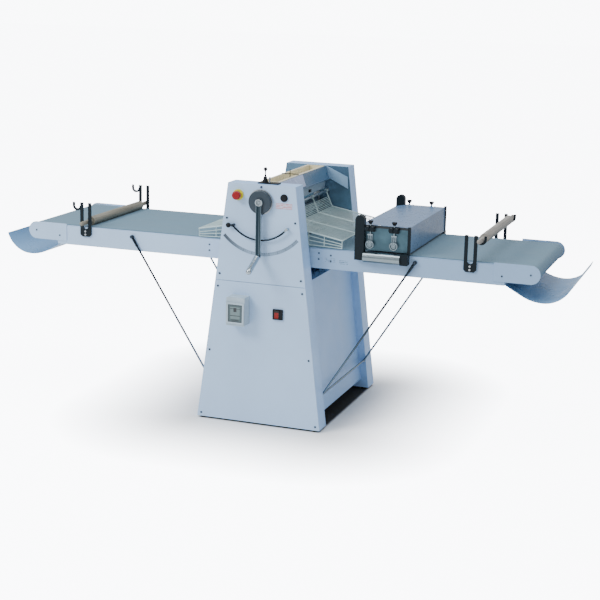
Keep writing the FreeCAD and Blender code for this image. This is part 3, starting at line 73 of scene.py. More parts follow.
class Tree:
    """Node tree of one material, with a short call for each kind of node."""

    def __init__(self, name, material=None):
        if material is None:
            material = bpy.data.materials.new(name)
            material.use_nodes = True
        self.material = material
        self.nodes = material.node_tree.nodes
        self.links = material.node_tree.links
        self.shader = self.nodes["Principled BSDF"]

    @classmethod
    def of(cls, material):
        """Reopen a finished material, to lay something over it by place."""
        tree = cls(material.name, material)
        tree.where = tree.object_position()
        tree.x, tree.y, tree.z = tree.split(tree.where)
        return tree

    def add(self, kind, **values):
        node = self.nodes.new(kind)
        for key, value in values.items():
            setattr(node, key, value)
        return node

    def link(self, output, target):
        self.links.new(output, target)

    def split(self, vector):
        """X, Y and Z of a vector."""
        parts = self.add("ShaderNodeSeparateXYZ")
        self.link(vector, parts.inputs["Vector"])
        return tuple(parts.outputs)

    def object_position(self):
        """Coordinates that stay with the piece when it moves."""
        return self.add("ShaderNodeTexCoord").outputs["Object"]

    def scaled(self, vector, scale, rotation=(0, 0, 0)):
        node = self.add("ShaderNodeMapping")
        self.link(vector, node.inputs["Vector"])
        node.inputs["Scale"].default_value = scale
        node.inputs["Rotation"].default_value = rotation
        return node.outputs["Vector"]

    def noise(self, vector, scale, detail=3.0, rough=0.55):
        node = self.add("ShaderNodeTexNoise")
        self.link(vector, node.inputs["Vector"])
        node.inputs["Scale"].default_value = scale
        node.inputs["Detail"].default_value = detail
        node.inputs["Roughness"].default_value = rough
        return node.outputs["Fac"]

    def spread(self, value, low, high, start=0.3, end=0.7):
        node = self.add("ShaderNodeMapRange")
        self.link(value, node.inputs["Value"])
        for name, number in zip(("From Min", "From Max", "To Min", "To Max"), (start, end, low, high)):
            node.inputs[name].default_value = number
        return node.outputs["Result"]

    def mixed(self, factor, first, second):
        node = self.add("ShaderNodeMix", data_type="RGBA")
        self.link(factor, node.inputs["Factor"])
        for index, colour in ((6, first), (7, second)):
            if isinstance(colour, bpy.types.NodeSocket):
                self.link(colour, node.inputs[index])
            else:
                node.inputs[index].default_value = (*colour, 1)
        return node.outputs[2]

    def maths(self, operation, *values):
        node = self.add("ShaderNodeMath", operation=operation)
        for index, value in enumerate(values):
            if isinstance(value, bpy.types.NodeSocket):
                self.link(value, node.inputs[index])
            else:
                node.inputs[index].default_value = value
        return node.outputs["Value"]

    def bump(self, height, strength, distance, edge=0.0):
        node = self.add("ShaderNodeBump")
        node.inputs["Strength"].default_value = strength
        node.inputs["Distance"].default_value = distance
        self.link(height, node.inputs["Height"])
        if edge:
            bevel = self.add("ShaderNodeBevel", samples=4)
            bevel.inputs["Radius"].default_value = edge
            self.link(bevel.outputs["Normal"], node.inputs["Normal"])
        self.link(node.outputs["Normal"], self.shader.inputs["Normal"])

    def set(self, **values):
        for name, value in values.items():
            self.shader.inputs[name.replace("_", " ")].default_value = value

    def between(self, value, low, high):
        return self.both(self.maths("GREATER_THAN", value, low), self.maths("LESS_THAN", value, high))

    def both(self, *masks):
        result = masks[0]
        for mask in masks[1:]:
            result = self.maths("MULTIPLY", result, mask)
        return result

    def either(self, *masks):
        result = masks[0]
        for mask in masks[1:]:
            result = self.maths("MAXIMUM", result, mask)
        return result

    def outside(self, left, right, foot, head):
        """Mask of everything outside a rectangle, seen from the front."""
        return self.either(self.maths("LESS_THAN", self.x, left), self.maths("GREATER_THAN", self.x, right),
                           self.maths("LESS_THAN", self.z, foot), self.maths("GREATER_THAN", self.z, head))

    def away(self, first, first_at, second, second_at):
        """Distance from a line along the remaining axis."""
        parts = [self.maths("POWER", self.maths("ABSOLUTE", self.maths("SUBTRACT", v, at)), 2.0)
                 for v, at in ((first, first_at), (second, second_at))]
        return self.maths("SQRT", self.maths("ADD", *parts))

    def over(self, mask, colour, rough=None, metal=None):
        """Lay a colour, and if given a roughness and a metal share, over what is there."""
        socket = self.shader.inputs["Base Color"]
        self.link(self.mixed(mask, socket.links[0].from_socket, colour), socket)
        for name, number in (("Roughness", rough), ("Metallic", metal)):
            if number is None:
                continue
            socket = self.shader.inputs[name]
            node = self.add("ShaderNodeMix", data_type="FLOAT")
            self.link(mask, node.inputs["Factor"])
            if socket.links:
                self.link(socket.links[0].from_socket, node.inputs[2])
            else:
                node.inputs[2].default_value = socket.default_value
            node.inputs[3].default_value = number
            self.link(node.outputs[0], socket)
        return self

    def written(self, left, right, foot, head, rows, letter=0.0016):
        """Mask of rows of small strokes that stand for print without saying anything."""
        span = (head - foot) / rows
        rise = self.maths("SUBTRACT", self.z, foot)
        row = self.maths("LESS_THAN", self.maths("PINGPONG", rise, span / 2), span * ROW_INK)
        strokes = self.noise(self.scaled(self.where, (1 / letter, FLAT, 0.35 / letter)), 1.0, 1)
        words = self.noise(self.scaled(self.where, (WORDS_PER_METRE, FLAT, 1 / span)), 1.0, 0)
        ink = self.both(self.maths("GREATER_THAN", strokes, STROKE_GAP), self.maths("GREATER_THAN", words, WORD_GAP))
        return self.both(self.between(self.x, left, right), self.between(self.z, foot, head), row, ink)


def tint(colour, amount):
    return tuple(min(1.0, c * amount) for c in colour)


def paint(name, colour, rough=0.38, edge=0.0012, dirt=0.06, coat=0.15):
    """Powder coat: faint orange peel, soft tone drift and slightly duller low spots."""
    t = Tree(name)
    where = t.object_position()
    drift = t.noise(where, 3.1, 4)
    speck = t.noise(where, 170, 2)
    tone = t.mixed(t.spread(drift, 0, 1), tint(colour, 1 - dirt), tint(colour, 1 + dirt * 0.5))
    tone = t.mixed(t.spread(speck, 0, 0.18, 0.45, 0.75), tone, tint(colour, 0.86))
    t.link(tone, t.shader.inputs["Base Color"])
    t.link(t.spread(t.noise(where, 9, 3), rough - 0.06, rough + 0.08), t.shader.inputs["Roughness"])
    t.set(Coat_Weight=coat, Coat_Roughness=0.25)
    t.bump(t.noise(where, 420, 2), 0.12, 0.0004, edge)
    return t.material


def paint_with_liner_painted_shade(name, colour, liner_painted_shade):
    """The body paint, with a glossy steel liner on the inner faces above the tables, painted dark as shade and as a
    reflection of the dark inside of the head.
    """
    t = Tree.of(paint(name, colour))
    off = t.maths("ABSOLUTE", t.maths("SUBTRACT", t.y, MIDDLE_Y))
    face = t.maths("LESS_THAN", t.maths("ABSOLUTE", t.maths("SUBTRACT", off, INNER_FACE)), FACE_DEPTH)
    mask = t.both(face, t.maths("GREATER_THAN", t.z, LINER_PAINTED_SHADE_FOOT))
    cloud = t.noise(t.where, 5, 3)
    # Painted shade: the liner's dark colour stands in for the shade and the dark reflection inside the head.
    t.over(mask, t.mixed(t.spread(cloud, 0, 1), tint(liner_painted_shade, 0.75), tint(liner_painted_shade, 1.3)), 0.24, 0.7)
    return t.material


def matt(material, share=0.16):
    """Hold back the pale sheen of a black piece."""
    material.node_tree.nodes["Principled BSDF"].inputs["Specular IOR Level"].default_value = share
    return material


def lever_finish(name):
    """Grey hub disc with a dark polished arm: its dark colour is a painted reflection of dark surroundings, and its
    edges and a streak near its middle carry painted highlights.
    """
    t = Tree.of(paint(name, (0.017, 0.033, 0.050), 0.36, 0.001, 0.1, 0.0))
    low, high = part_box("thickness_lever")
    disc_foot = HUB.z - (high.z - HUB.z) - 0.001
    arm = t.either(t.maths("LESS_THAN", t.z, disc_foot), t.maths("LESS_THAN", t.y, low.y + 0.003))
    # Painted highlights: bright along the arm's edges, and a fainter streak near its middle.
    edge = t.spread(t.maths("ABSOLUTE", t.x), 0, 1, *ARM_EDGE_HIGHLIGHT)
    streak_highlight = t.spread(t.maths("ABSOLUTE", t.maths("SUBTRACT", t.x, ARM_STREAK_HIGHLIGHT_X)), 1, 0, *ARM_STREAK_HIGHLIGHT)
    bright = t.either(edge, t.maths("MULTIPLY", streak_highlight, 0.35))
    # The arm's dark colour is a painted reflection of dark surroundings.
    t.over(arm, t.mixed(bright, (0.016, 0.034, 0.048), (0.30, 0.38, 0.44)), 0.18, 0.85)
    ring = t.between(t.away(t.x, HUB.x, t.z, HUB.z), *HUB_RING)
    return t.over(t.both(arm, ring), (0.55, 0.60, 0.64), 0.1, 1.0).material


def ringed(name, centres, rings, bright, dark):
    """Polished metal with dark bands about the given axes, painted shade standing in for turned recesses, and bright
    spots in the first ring.
    """
    t = Tree.of(polished(name, bright, 0.1))
    distances = [t.away(t.x, x, t.z, z) for x, z in centres]
    away = distances[0]
    for distance in distances[1:]:
        away = t.maths("MINIMUM", away, distance)
    # Painted shade: dark bands at the given radii.
    t.over(t.either(*[t.between(away, start, end) for start, end in rings]), dark, 0.2)
    spots = []
    for x, z in centres:
        turn = t.maths("ARCTAN2", t.maths("SUBTRACT", t.z, z), t.maths("SUBTRACT", t.x, x))
        spots.append(t.maths("GREATER_THAN", t.maths("SINE", t.maths("MULTIPLY", turn, SPOTS)), SPOT_GAP))
    return t.over(t.both(t.between(away, *rings[0]), *spots), tint(bright, 1.1), 0.1).material


def bordered_plate(name, colour, dark):
    """Blue-grey steel plate with a black painted strip along its top and outer edge."""
    t = Tree.of(brushed(name, colour, 0, 0.36))
    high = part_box("station_plates")[1]
    strip = t.either(t.maths("GREATER_THAN", t.z, high.z - STRIP_TOP),
                     t.maths("GREATER_THAN", t.x, high.x - STRIP_END))
    cloud = t.noise(t.where, 16, 4)
    t.over(t.spread(cloud, 0, 0.5, 0.45, 0.7), tint(colour, 1.6))
    return t.over(strip, dark, 0.34, 0.0).material


def window(name):
    """Smoky window with the outline of a breaker behind it."""
    t = Tree.of(plastic(name, (0.050, 0.085, 0.095), 0.16, 0.0006, 0.02, 0.1))
    low, high = BREAKER_WINDOW
    centre = (low.x + high.x) / 2
    dark = (0.02, 0.03, 0.035)
    for half, foot, head, colour in (
        (0.024, low.z + 0.016, high.z - 0.012, (0.125, 0.185, 0.195)),   # body of the breaker
        (0.026, low.z + 0.030, low.z + 0.0335, dark),                    # its lower line
        (0.026, high.z - 0.022, high.z - 0.019, (0.03, 0.04, 0.045)),    # its upper line
        (0.008, high.z - 0.036, high.z - 0.016, (0.015, 0.02, 0.025)),   # slot of the toggle
        (0.018, low.z + 0.008, low.z + 0.012, dark),                     # strip below it
    ):
        t.over(t.both(t.between(t.x, centre - half, centre + half), t.between(t.z, foot, head)), colour)
    rim = t.outside(low.x + 0.004, high.x - 0.004, low.z + 0.005, high.z - 0.004)
    return t.over(rim, (0.018, 0.030, 0.035)).material


def red_print(name):
    """Plain label with rows of red strokes in place of words."""
    t = Tree.of(plastic(name, (0.50, 0.54, 0.66), 0.4))
    left, foot, right, head = LABEL
    t.over(t.outside(left + 0.002, right - 0.002, foot + 0.0015, head - 0.0015), (0.55, 0.25, 0.30))
    ink = t.written(left + 0.004, right - 0.004, foot + 0.002, head - 0.002, 3, 0.0022)
    return t.over(ink, (0.50, 0.02, 0.03)).material


def rocker_red(name):
    """Red rocker with its black upper end and sides."""
    t = Tree.of(matt(plastic(name, (0.20, 0.004, 0.004), 0.25, 0.0008, 0.04, 0.1), 0.3))
    low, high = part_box("rocker_switch")
    dark = t.outside(low.x + 0.0035, high.x - 0.0035, low.z + 0.003, high.z - 0.011)
    return t.over(dark, (0.008, 0.008, 0.010)).material


def strut_finish(name):
    """Dark steel rods with painted light: paler low down and on the rear arm."""
    t = Tree.of(polished(name, (0.022, 0.032, 0.044), 0.16))
    # Painted light: the rods pale towards the bottom, and the rear arm is paler.
    low_painted_light = t.spread(t.z, 0.8, 0, 0.20, 0.55)
    rear_arm_painted_light = t.maths("MULTIPLY", t.maths("GREATER_THAN", t.y, MIDDLE_Y + 0.1), 0.55)
    return t.over(t.either(low_painted_light, rear_arm_painted_light), (0.17, 0.24, 0.31)).material


def marked_paint(name, colour):
    """Table paint with two small blocks of strokes beside the bolts near the tower."""
    t = Tree.of(paint(name, colour))
    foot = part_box("right_table_frame")[0].z
    blocks = [t.written(left, right, foot + rise, foot + rise + PRINT_HEIGHT, 2)
              for left, right, rise in ((0.285, 0.335, 0.035), (0.355, 0.400, 0.030))]
    return t.over(t.either(*blocks), (0.05, 0.09, 0.15)).material


def brushed(name, colour, along=0, rough=0.28, edge=0.0006):
    """Brushed steel with fine streaks along one axis."""
    t = Tree(name)
    where = t.object_position()
    scale = [900.0, 900.0, 900.0]
    scale[along] = 12.0
    streak = t.noise(t.scaled(where, scale), 1.0, 3)
    cloud = t.noise(where, 7, 3)
    tone = t.mixed(t.spread(streak, 0, 1), tint(colour, 0.86), tint(colour, 1.08))
    t.link(t.mixed(t.spread(cloud, 0, 0.35), tone, tint(colour, 0.72)), t.shader.inputs["Base Color"])
    t.link(t.spread(streak, rough - 0.07, rough + 0.1), t.shader.inputs["Roughness"])
    t.set(Metallic=1.0)
    t.bump(streak, 0.1, 0.0002, edge)
    return t.material


def polished(name, colour, rough=0.07):
    """Chrome or polished steel with light handling marks."""
    t = Tree(name)
    where = t.object_position()
    smear = t.noise(where, 28, 4, 0.65)
    t.link(t.mixed(t.spread(smear, 0, 0.4), colour, tint(colour, 0.8)), t.shader.inputs["Base Color"])
    t.link(t.spread(smear, rough, rough + 0.14), t.shader.inputs["Roughness"])
    t.set(Metallic=1.0)
    t.bump(t.noise(where, 260, 2), 0.04, 0.0002, 0.0006)
    return t.material


def plastic(name, colour, rough=0.45, edge=0.0008, grain=0.12, coat=0.0):
    """Moulded plastic with fine grain."""
    t = Tree(name)
    where = t.object_position()
    cloud = t.noise(where, 15, 3)
    t.link(t.mixed(t.spread(cloud, 0, 1), tint(colour, 0.9), tint(colour, 1.1)), t.shader.inputs["Base Color"])
    t.link(t.spread(t.noise(where, 60, 3), rough - 0.06, rough + 0.1), t.shader.inputs["Roughness"])
    t.set(Coat_Weight=coat, Coat_Roughness=0.1)
    t.bump(t.noise(where, 900, 2), grain, 0.0003, edge)
    return t.material


def clear_sheet(name, colour, rough=0.16, see=0.45):
    """Pale tinted plastic sheet that lets some light through."""
    t = Tree(name)
    where = t.object_position()
    cloud = t.noise(where, 8, 4)
    t.link(t.mixed(t.spread(cloud, 0, 1), tint(colour, 0.93), tint(colour, 1.04)), t.shader.inputs["Base Color"])
    t.link(t.spread(t.noise(where, 35, 4), rough, rough + 0.16), t.shader.inputs["Roughness"])
    t.set(Transmission_Weight=see, IOR=1.38, Coat_Weight=0.4, Coat_Roughness=0.08)
    t.bump(t.noise(where, 120, 2), 0.05, 0.0004, 0.0006)
    return t.material


def belt_cloth(name, colour):
    """Woven food belt: crossing fine ribs and flour dust."""
    t = Tree(name)
    where = t.object_position()
    weave = []
    for axis in t.split(where)[:2]:
        wave = t.maths("SINE", t.maths("MULTIPLY", axis, 2 * math.pi / RIB_PITCH))
        weave.append(t.spread(wave, 0, 1, -1, 1))
    cloth = t.maths("MULTIPLY", *weave)
    dust = t.noise(t.scaled(where, (1, 2.2, 1)), 4.5, 5, 0.62)
    tone = t.mixed(t.spread(cloth, 0, 0.35, 0, 1), colour, tint(colour, 0.82))
    tone = t.mixed(t.spread(dust, 0, 0.35, 0.35, 0.75), tone, tint(colour, 1.22))
    t.link(tone, t.shader.inputs["Base Color"])
    t.link(t.spread(dust, 0.62, 0.85), t.shader.inputs["Roughness"])
    t.set(Sheen_Weight=0.12)
    t.bump(cloth, 0.25, 0.0003)
    return t.material


def timber(name, colour, dark):
    """Turned wood with grain along Y, and darker worn patches."""
    t = Tree(name)
    where = t.object_position()
    stretched = t.scaled(where, (60, 2.6, 60))
    grain = t.noise(stretched, 1.6, 5, 0.6)
    fine = t.noise(t.scaled(where, (420, 9, 420)), 1.0, 2)
    worn = t.noise(where, 9, 4)
    tone = t.mixed(t.spread(grain, 0, 1, 0.35, 0.65), colour, dark)
    tone = t.mixed(t.spread(fine, 0, 0.3), tone, tint(dark, 0.7))
    tone = t.mixed(t.spread(worn, 0, 0.3, 0.4, 0.75), tone, tint(dark, 0.62))
    t.link(tone, t.shader.inputs["Base Color"])
    t.link(t.spread(grain, 0.42, 0.6), t.shader.inputs["Roughness"])
    t.bump(fine, 0.15, 0.0003)
    return t.material


def scale_print(name, colour, ink):
    """Printed scale: radial marks about the hub, a fine one each 2.5 degrees and a long one each ten."""
    t = Tree(name)
    where = t.object_position()
    x, _, z = t.split(where)
    drop = t.maths("SUBTRACT", HUB.z, z)
    degrees = t.maths("MULTIPLY", t.maths("ARCTAN2", x, drop), 180 / math.pi)
    fine = t.maths("LESS_THAN", t.maths("PINGPONG", degrees, FINE_STEP / 2), 0.22)
    bold = t.maths("LESS_THAN", t.maths("PINGPONG", degrees, BOLD_STEP / 2), 0.4)
    inner = t.maths("LESS_THAN", t.away(x, 0.0, z, HUB.z), FINE_REACH)
    marks = t.either(t.both(fine, inner), bold)
    tone = t.mixed(t.spread(t.noise(where, 30, 3), 0, 1), tint(colour, 0.92), tint(colour, 1.05))
    # Painted shade: the scale darkens towards its left end, and less towards its right end.
    tone = t.mixed(t.spread(x, 1, 0, -0.17, -0.05), tone, tint(colour, 0.22))
    tone = t.mixed(t.spread(x, 0, 0.6, 0.05, 0.17), tone, tint(colour, 0.5))
    t.link(t.mixed(t.maths("MULTIPLY", marks, 0.6), tone, ink), t.shader.inputs["Base Color"])
    t.set(Roughness=0.4)
    t.bump(t.noise(where, 500, 2), 0.05, 0.0002)
    return t.material


HUB = Vector(joints["lever_swing"]["pos_m"])
low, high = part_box("hood")
MIDDLE_Y = (low.y + high.y) / 2
INNER_FACE = (high.y - low.y) / 2
# the liner's painted shade starts just under the top of the belts
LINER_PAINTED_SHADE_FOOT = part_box("right_conveyor_belt")[1].z - 0.02

LABEL = (0.075, 1.073, 0.155, 1.099)   # left, foot, right and head of the plate under the start button
BREAKER_WINDOW = (Vector((-0.133, 0, 0.521)), Vector((-0.061, 0, 0.607)))
STATIONS = [(joints[name]["pos_m"][0], joints[name]["pos_m"][2])
            for name in ("calibrating_roller_spin", "cutting_roller_spin")]

FACE_DEPTH = 0.0006            # how near to a face a point must be to take the liner and its painted shade
ARM_EDGE_HIGHLIGHT = (0.0108, 0.0122)    # distance from the lever arm's middle where the painted highlight along its edge starts and is full
# place and widths of the fainter painted highlight streak along the arm
ARM_STREAK_HIGHLIGHT_X = 0.004
ARM_STREAK_HIGHLIGHT = (0.0005, 0.0020)
HUB_RING = (0.013, 0.0165)     # radii of the bright ring at the lever's hub
# radii of the bands painted dark as shade of turned recesses
BEARING_SHADE_RINGS = [(0.0105, 0.0155), (0.0045, 0.0065), (0.0190, 0.0215)]
BOSS_SHADE_RINGS = [(0.0055, 0.0085)]
SPOTS = 9.0                    # bright spots around the first ring
SPOT_GAP = 0.35
STRIP_TOP = 0.011              # black strip of the station plates, along the top and the outer end
STRIP_END = 0.014
PRINT_HEIGHT = 0.018           # print beside the table bolts
RIB_PITCH = 2 * math.pi / 2600.0   # belt weave, about 2.4 mm
FINE_STEP = 2.5                # degrees between the marks of the scale
BOLD_STEP = 10.0
FINE_REACH = 0.2525            # radius where the fine marks end

BODY = (0.310, 0.510, 0.820)
BLACK = (0.006, 0.012, 0.017)
M = {
    "body_paint": paint("body_paint", BODY),
    # the towers carry the liner's painted shade on their inner faces above the tables
    "tower_paint": paint_with_liner_painted_shade("tower_paint", BODY, (0.14, 0.26, 0.38)),
    "cover_paint": paint("cover_paint", (0.40, 0.57, 0.80)),
    "table_paint": paint("table_paint", (0.40, 0.56, 0.78)),
    # Painted shade: the right table takes a darker copy of the table paint.
    "right_table_paint": marked_paint("right_table_paint", (0.275, 0.43, 0.64)),
    # Painted shade: the hood and its gables take one blue paint in two darkened copies, the hood darkest, the gables
    # less.
    "hood_paint": paint("hood_paint", (0.050, 0.120, 0.215), 0.3),
    "gable_paint": paint("gable_paint", (0.22, 0.36, 0.52), 0.26),
    "panel_pale": paint("panel_pale", (0.30, 0.40, 0.50), 0.3),
    "scoop_paint": paint("scoop_paint", (0.165, 0.35, 0.60), 0.3),
    "guard_wire": plastic("guard_wire", (0.40, 0.53, 0.54), 0.35),
    "strut_steel": strut_finish("strut_steel"),
    "screw_steel": polished("screw_steel", (0.06, 0.08, 0.11), 0.25),
    "black_metal": matt(paint("black_metal", BLACK, 0.36, 0.0012, 0.1, 0.0)),
    "lever_finish": lever_finish("lever_finish"),
    "motor_grey": paint("motor_grey", (0.10, 0.13, 0.16), 0.5, 0.0015, 0.12, 0.0),
    "steel": brushed("steel", (0.48, 0.52, 0.56), 1),
    "steel_x": brushed("steel_x", (0.27, 0.33, 0.36), 0, 0.2),
    "plate_steel": bordered_plate("plate_steel", (0.075, 0.135, 0.170), BLACK),
    "chrome": polished("chrome", (0.42, 0.48, 0.52)),
    "bearing_chrome": ringed("bearing_chrome", STATIONS, BEARING_SHADE_RINGS, (0.30, 0.38, 0.43), (0.008, 0.018, 0.024)),
    "boss_chrome": ringed("boss_chrome", [(HUB.x, HUB.z)], BOSS_SHADE_RINGS, (0.40, 0.47, 0.52), (0.012, 0.022, 0.030)),
    "arc_chrome": polished("arc_chrome", (0.020, 0.028, 0.038), 0.1),
    "sheet_lavender": plastic("sheet_lavender", (0.36, 0.44, 0.66), 0.22, 0.0006, 0.02, 0.3),
    "black_plastic": matt(plastic("black_plastic", (0.008, 0.010, 0.013))),
    "grey_plastic": plastic("grey_plastic", (0.22, 0.25, 0.30)),
    "rubber_black": plastic("rubber_black", (0.010, 0.010, 0.011), 0.75),
    "red_plastic": matt(plastic("red_plastic", (0.24, 0.004, 0.007), 0.28, 0.0008, 0.05, 0.1), 0.3),
    "rocker_red": rocker_red("rocker_red"),
    "yellow_plastic": plastic("yellow_plastic", (0.62, 0.55, 0.02), 0.35),
    "tray_plastic": clear_sheet("tray_plastic", (0.80, 0.74, 0.52), 0.25, 0.25),
    "cover_lavender": plastic("cover_lavender", (0.100, 0.180, 0.310), 0.30, 0.0006, 0.02, 0.0),
    "box_plastic": plastic("box_plastic", (0.36, 0.46, 0.54), 0.42),
    "smoked": window("smoked"),
    "belt_fabric": belt_cloth("belt_fabric", (0.088, 0.175, 0.245)),
    "wood_dark": timber("wood_dark", (0.27, 0.255, 0.205), (0.155, 0.145, 0.110)),
    "wood_pale": timber("wood_pale", (0.36, 0.345, 0.31), (0.23, 0.215, 0.19)),
    "print_scale": scale_print("print_scale", (0.23, 0.33, 0.46), (0.08, 0.11, 0.15)),
    "label_plain": red_print("label_plain"),
    "lamp_glass": plastic("lamp_glass", (0.01, 0.02, 0.07), 0.12, 0.0004, 0.02, 0.6),
}


# ------------------------------------------------------------------ finish of the CAD pieces
def solids_of(obj):
    """Loose parts of a mesh, joined by place rather than by index: [(face numbers, low, high)]."""
    mesh = obj.data
    key = {}
    parent = []

    def find(i):
        while parent[i] != i:
            parent[i] = parent[parent[i]]
            i = parent[i]
        return i

    ids = []
    for v in mesh.vertices:
        k = (round(v.co.x, 6), round(v.co.y, 6), round(v.co.z, 6))
        if k not in key:
            key[k] = len(parent)
            parent.append(len(parent))
        ids.append(key[k])
    for poly in mesh.polygons:
        first = find(ids[poly.vertices[0]])
        for v in poly.vertices[1:]:
            other = find(ids[v])
            if other != first:
                parent[other] = first
    groups = {}
    for poly in mesh.polygons:
        groups.setdefault(find(ids[poly.vertices[0]]), []).append(poly.index)
    result = []
    for faces in groups.values():
        points = [mesh.vertices[v].co for f in faces for v in mesh.polygons[f].vertices]
        low = Vector([min(p[k] for p in points) for k in range(3)])
        high = Vector([max(p[k] for p in points) for k in range(3)])
        result.append((faces, low, high))
    return result


def smooth(obj, angle=32):
    """Smooth shading with crisp edges, without touching the CAD mesh."""
    mesh = obj.data
    if mesh.attributes.get("custom_normal"):
        mesh.attributes.remove(mesh.attributes["custom_normal"])
    for name in ("sharp_edge", "sharp_face"):
        if mesh.attributes.get(name):
            mesh.attributes.remove(mesh.attributes[name])
    for poly in mesh.polygons:
        poly.use_smooth = True
    weld = obj.modifiers.new("weld", "WELD")
    weld.merge_threshold = 0.000002
    split = obj.modifiers.new("crisp", "EDGE_SPLIT")
    split.split_angle = math.radians(angle)


def dress(node, default, rules=(), faces=()):
    """Give a node its finish; a rule tests a solid's corners, a face rule the middle of a polygon."""
    obj = nodes[node]
    obj.data.materials.clear()
    names = [default] + [name for _, name in rules] + [name for _, name in faces]
    for name in names:
        obj.data.materials.append(M[name])
    for poly in obj.data.polygons:
        for index, (test, _) in enumerate(faces):
            if test(poly.center):
                poly.material_index = index + 1 + len(rules)
    if rules:
        for members, low, high in solids_of(obj):
            size = high - low
            for index, (test, _) in enumerate(rules):
                if test(low, high, size):
                    for f in members:
                        obj.data.polygons[f].material_index = index + 1
                    break
    smooth(obj)


# Finish of a slot that has another name, then the nodes with a finish of their own: the default, rules
# that pick solids by their low corner, high corner and size, and rules that pick faces by their middle.
DEFAULT = {"pin_wood_dark": "wood_dark", "pin_wood_pale": "wood_pale"}
RULES = {
    "flour_tray": ("tray_plastic", [(lambda l, h, s: s.y < 0.01, "black_metal")]),
    "lever_handle": ("chrome", [(lambda l, h, s: s.y < 0.04, "black_plastic")]),
    "breaker_lid": ("box_plastic", [(lambda l, h, s: s.x < 0.08, "smoked")]),
    "lever_guide": ("arc_chrome", [(lambda l, h, s: 0.1 < s.x < 0.15, "steel")],
                    [(lambda c: c.x < -0.1445 and c.z < 1.0, "black_plastic"),
                     (lambda c: c.x > 0.128 and c.z < 1.0, "chrome")]),
    "thickness_lever": ("lever_finish",),
    "cover_screws": ("screw_steel",),
    "adjusting_shaft": ("boss_chrome",),
    "rocker_switch": ("rocker_red",),
    "panel_labels": ("label_plain", [(lambda l, h, s: s.x > 0.2, "print_scale")]),
    "panel_bezels": ("black_plastic", [
        (lambda l, h, s: s.x < 0.012 and l.z < 1.178, "lamp_glass"),
        (lambda l, h, s: s.x < 0.012, "grey_plastic"),
    ]),
    "head_panels": ("panel_pale", [
        (lambda l, h, s: h.z > 1.13, "sheet_lavender"),
        (lambda l, h, s: s.y < 0.05, "black_metal"),
    ]),
    "station_plates": ("plate_steel", [(lambda l, h, s: s.y > 0.02, "steel_x")]),
    "calibrating_carriage": ("bearing_chrome", [(lambda l, h, s: l.z > 1.01, "black_plastic")]),
    "cutting_carriage": ("bearing_chrome", [(lambda l, h, s: l.z > 1.01, "black_plastic")]),
    "hood": ("hood_paint", [(lambda l, h, s: s.y < 0.01, "gable_paint")]),
    "front_tower": ("tower_paint", [(lambda l, h, s: s.y < 0.04, "steel")]),
    "rear_tower": ("tower_paint", [(lambda l, h, s: s.y < 0.04, "steel")]),
    "left_strut": ("strut_steel",),
    "right_strut": ("strut_steel",),
}
for side in ("left_", "right_"):
    paint_name = "table_paint" if side == "left_" else "right_table_paint"
    RULES[side + "table_frame"] = (paint_name, [(lambda l, h, s: s.x < 0.015, "screw_steel")])
    RULES[side + "pin_forks"] = ("black_metal", [(lambda l, h, s: s.x < 0.02, "steel")])

for node in sorted(nodes):
    if node in RULES:
        dress(node, *RULES[node])
    else:
        dress(node, DEFAULT.get(slots[node], slots[node]))


# ------------------------------------------------------------------ added wires and the stage
def add_mesh(name, verts, faces, material, body=None):
    mesh = bpy.data.meshes.new(name)
    mesh.from_pydata(verts, [], faces)
    mesh.materials.append(material)
    obj = bpy.data.objects.new(name, mesh)
    bpy.context.scene.collection.objects.link(obj)
    if body:
        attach(obj, body)
    return obj


def tube(bars, radius, sides=8):
    """Vertices and faces of closed round bars between pairs of points."""
    verts, faces = [], []
    for start, end in bars:
        along = (end - start).normalized()
        across = along.orthogonal().normalized()
        other = along.cross(across)
        base = len(verts)
        for centre in (start, end):
            for k in range(sides):
                turn = 2 * math.pi * k / sides
                verts.append(centre + across * (radius * math.cos(turn)) + other * (radius * math.sin(turn)))
        for k in range(sides):
            n = (k + 1) % sides
            faces.append((base + k, base + n, base + sides + n, base + sides + k))
        faces.append(tuple(base + k for k in reversed(range(sides))))
        faces.append(tuple(base + sides + k for k in range(sides)))
    return verts, faces


# The guards carry a closer mesh than in the CAD: one more wire halfway between each pair.
CREASE = (0.035, -0.078)     # bend and tip of a guard, outwards and up from its hinge
TIP = (0.309, -0.127)
WIRE_PITCH = 0.014
WIRE_RADIUS = 0.0016
FRAME_RADIUS = 0.003         # the wires end in the middle of the guard's side frames
FIRST_WIRE = 0.024           # free stretch beside the hinge
for side, way in (("left", -1), ("right", 1)):
    hinge = joints[side + "_guard_open"]["pos_m"]
    node_low, node_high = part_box(side + "_guard")
    half = (node_high.y - node_low.y) / 2 - FRAME_RADIUS
    corners = [(0.0, 0.0), CREASE, TIP]
    wires = []
    for (x0, z0), (x1, z1), skip in zip(corners, corners[1:], (FIRST_WIRE, 0.0)):
        length = math.hypot(x1 - x0, z1 - z0)
        count = int((length - skip) / WIRE_PITCH)
        for i in range(count):
            share = (skip + (i + 0.5) * (length - skip) / count) / length
            x = hinge[0] + way * (x0 + (x1 - x0) * share)
            z = hinge[2] + z0 + (z1 - z0) * share
            wires.append((Vector((x, MIDDLE_Y - half, z)), Vector((x, MIDDLE_Y + half, z))))
    verts, faces = tube(wires, WIRE_RADIUS)
    guard = side + "_guard"
    fine_wires = add_mesh(guard + "_fine_wires", verts, faces, M["guard_wire"], guard)
    for poly in fine_wires.data.polygons:
        poly.use_smooth = len(poly.vertices) == 4

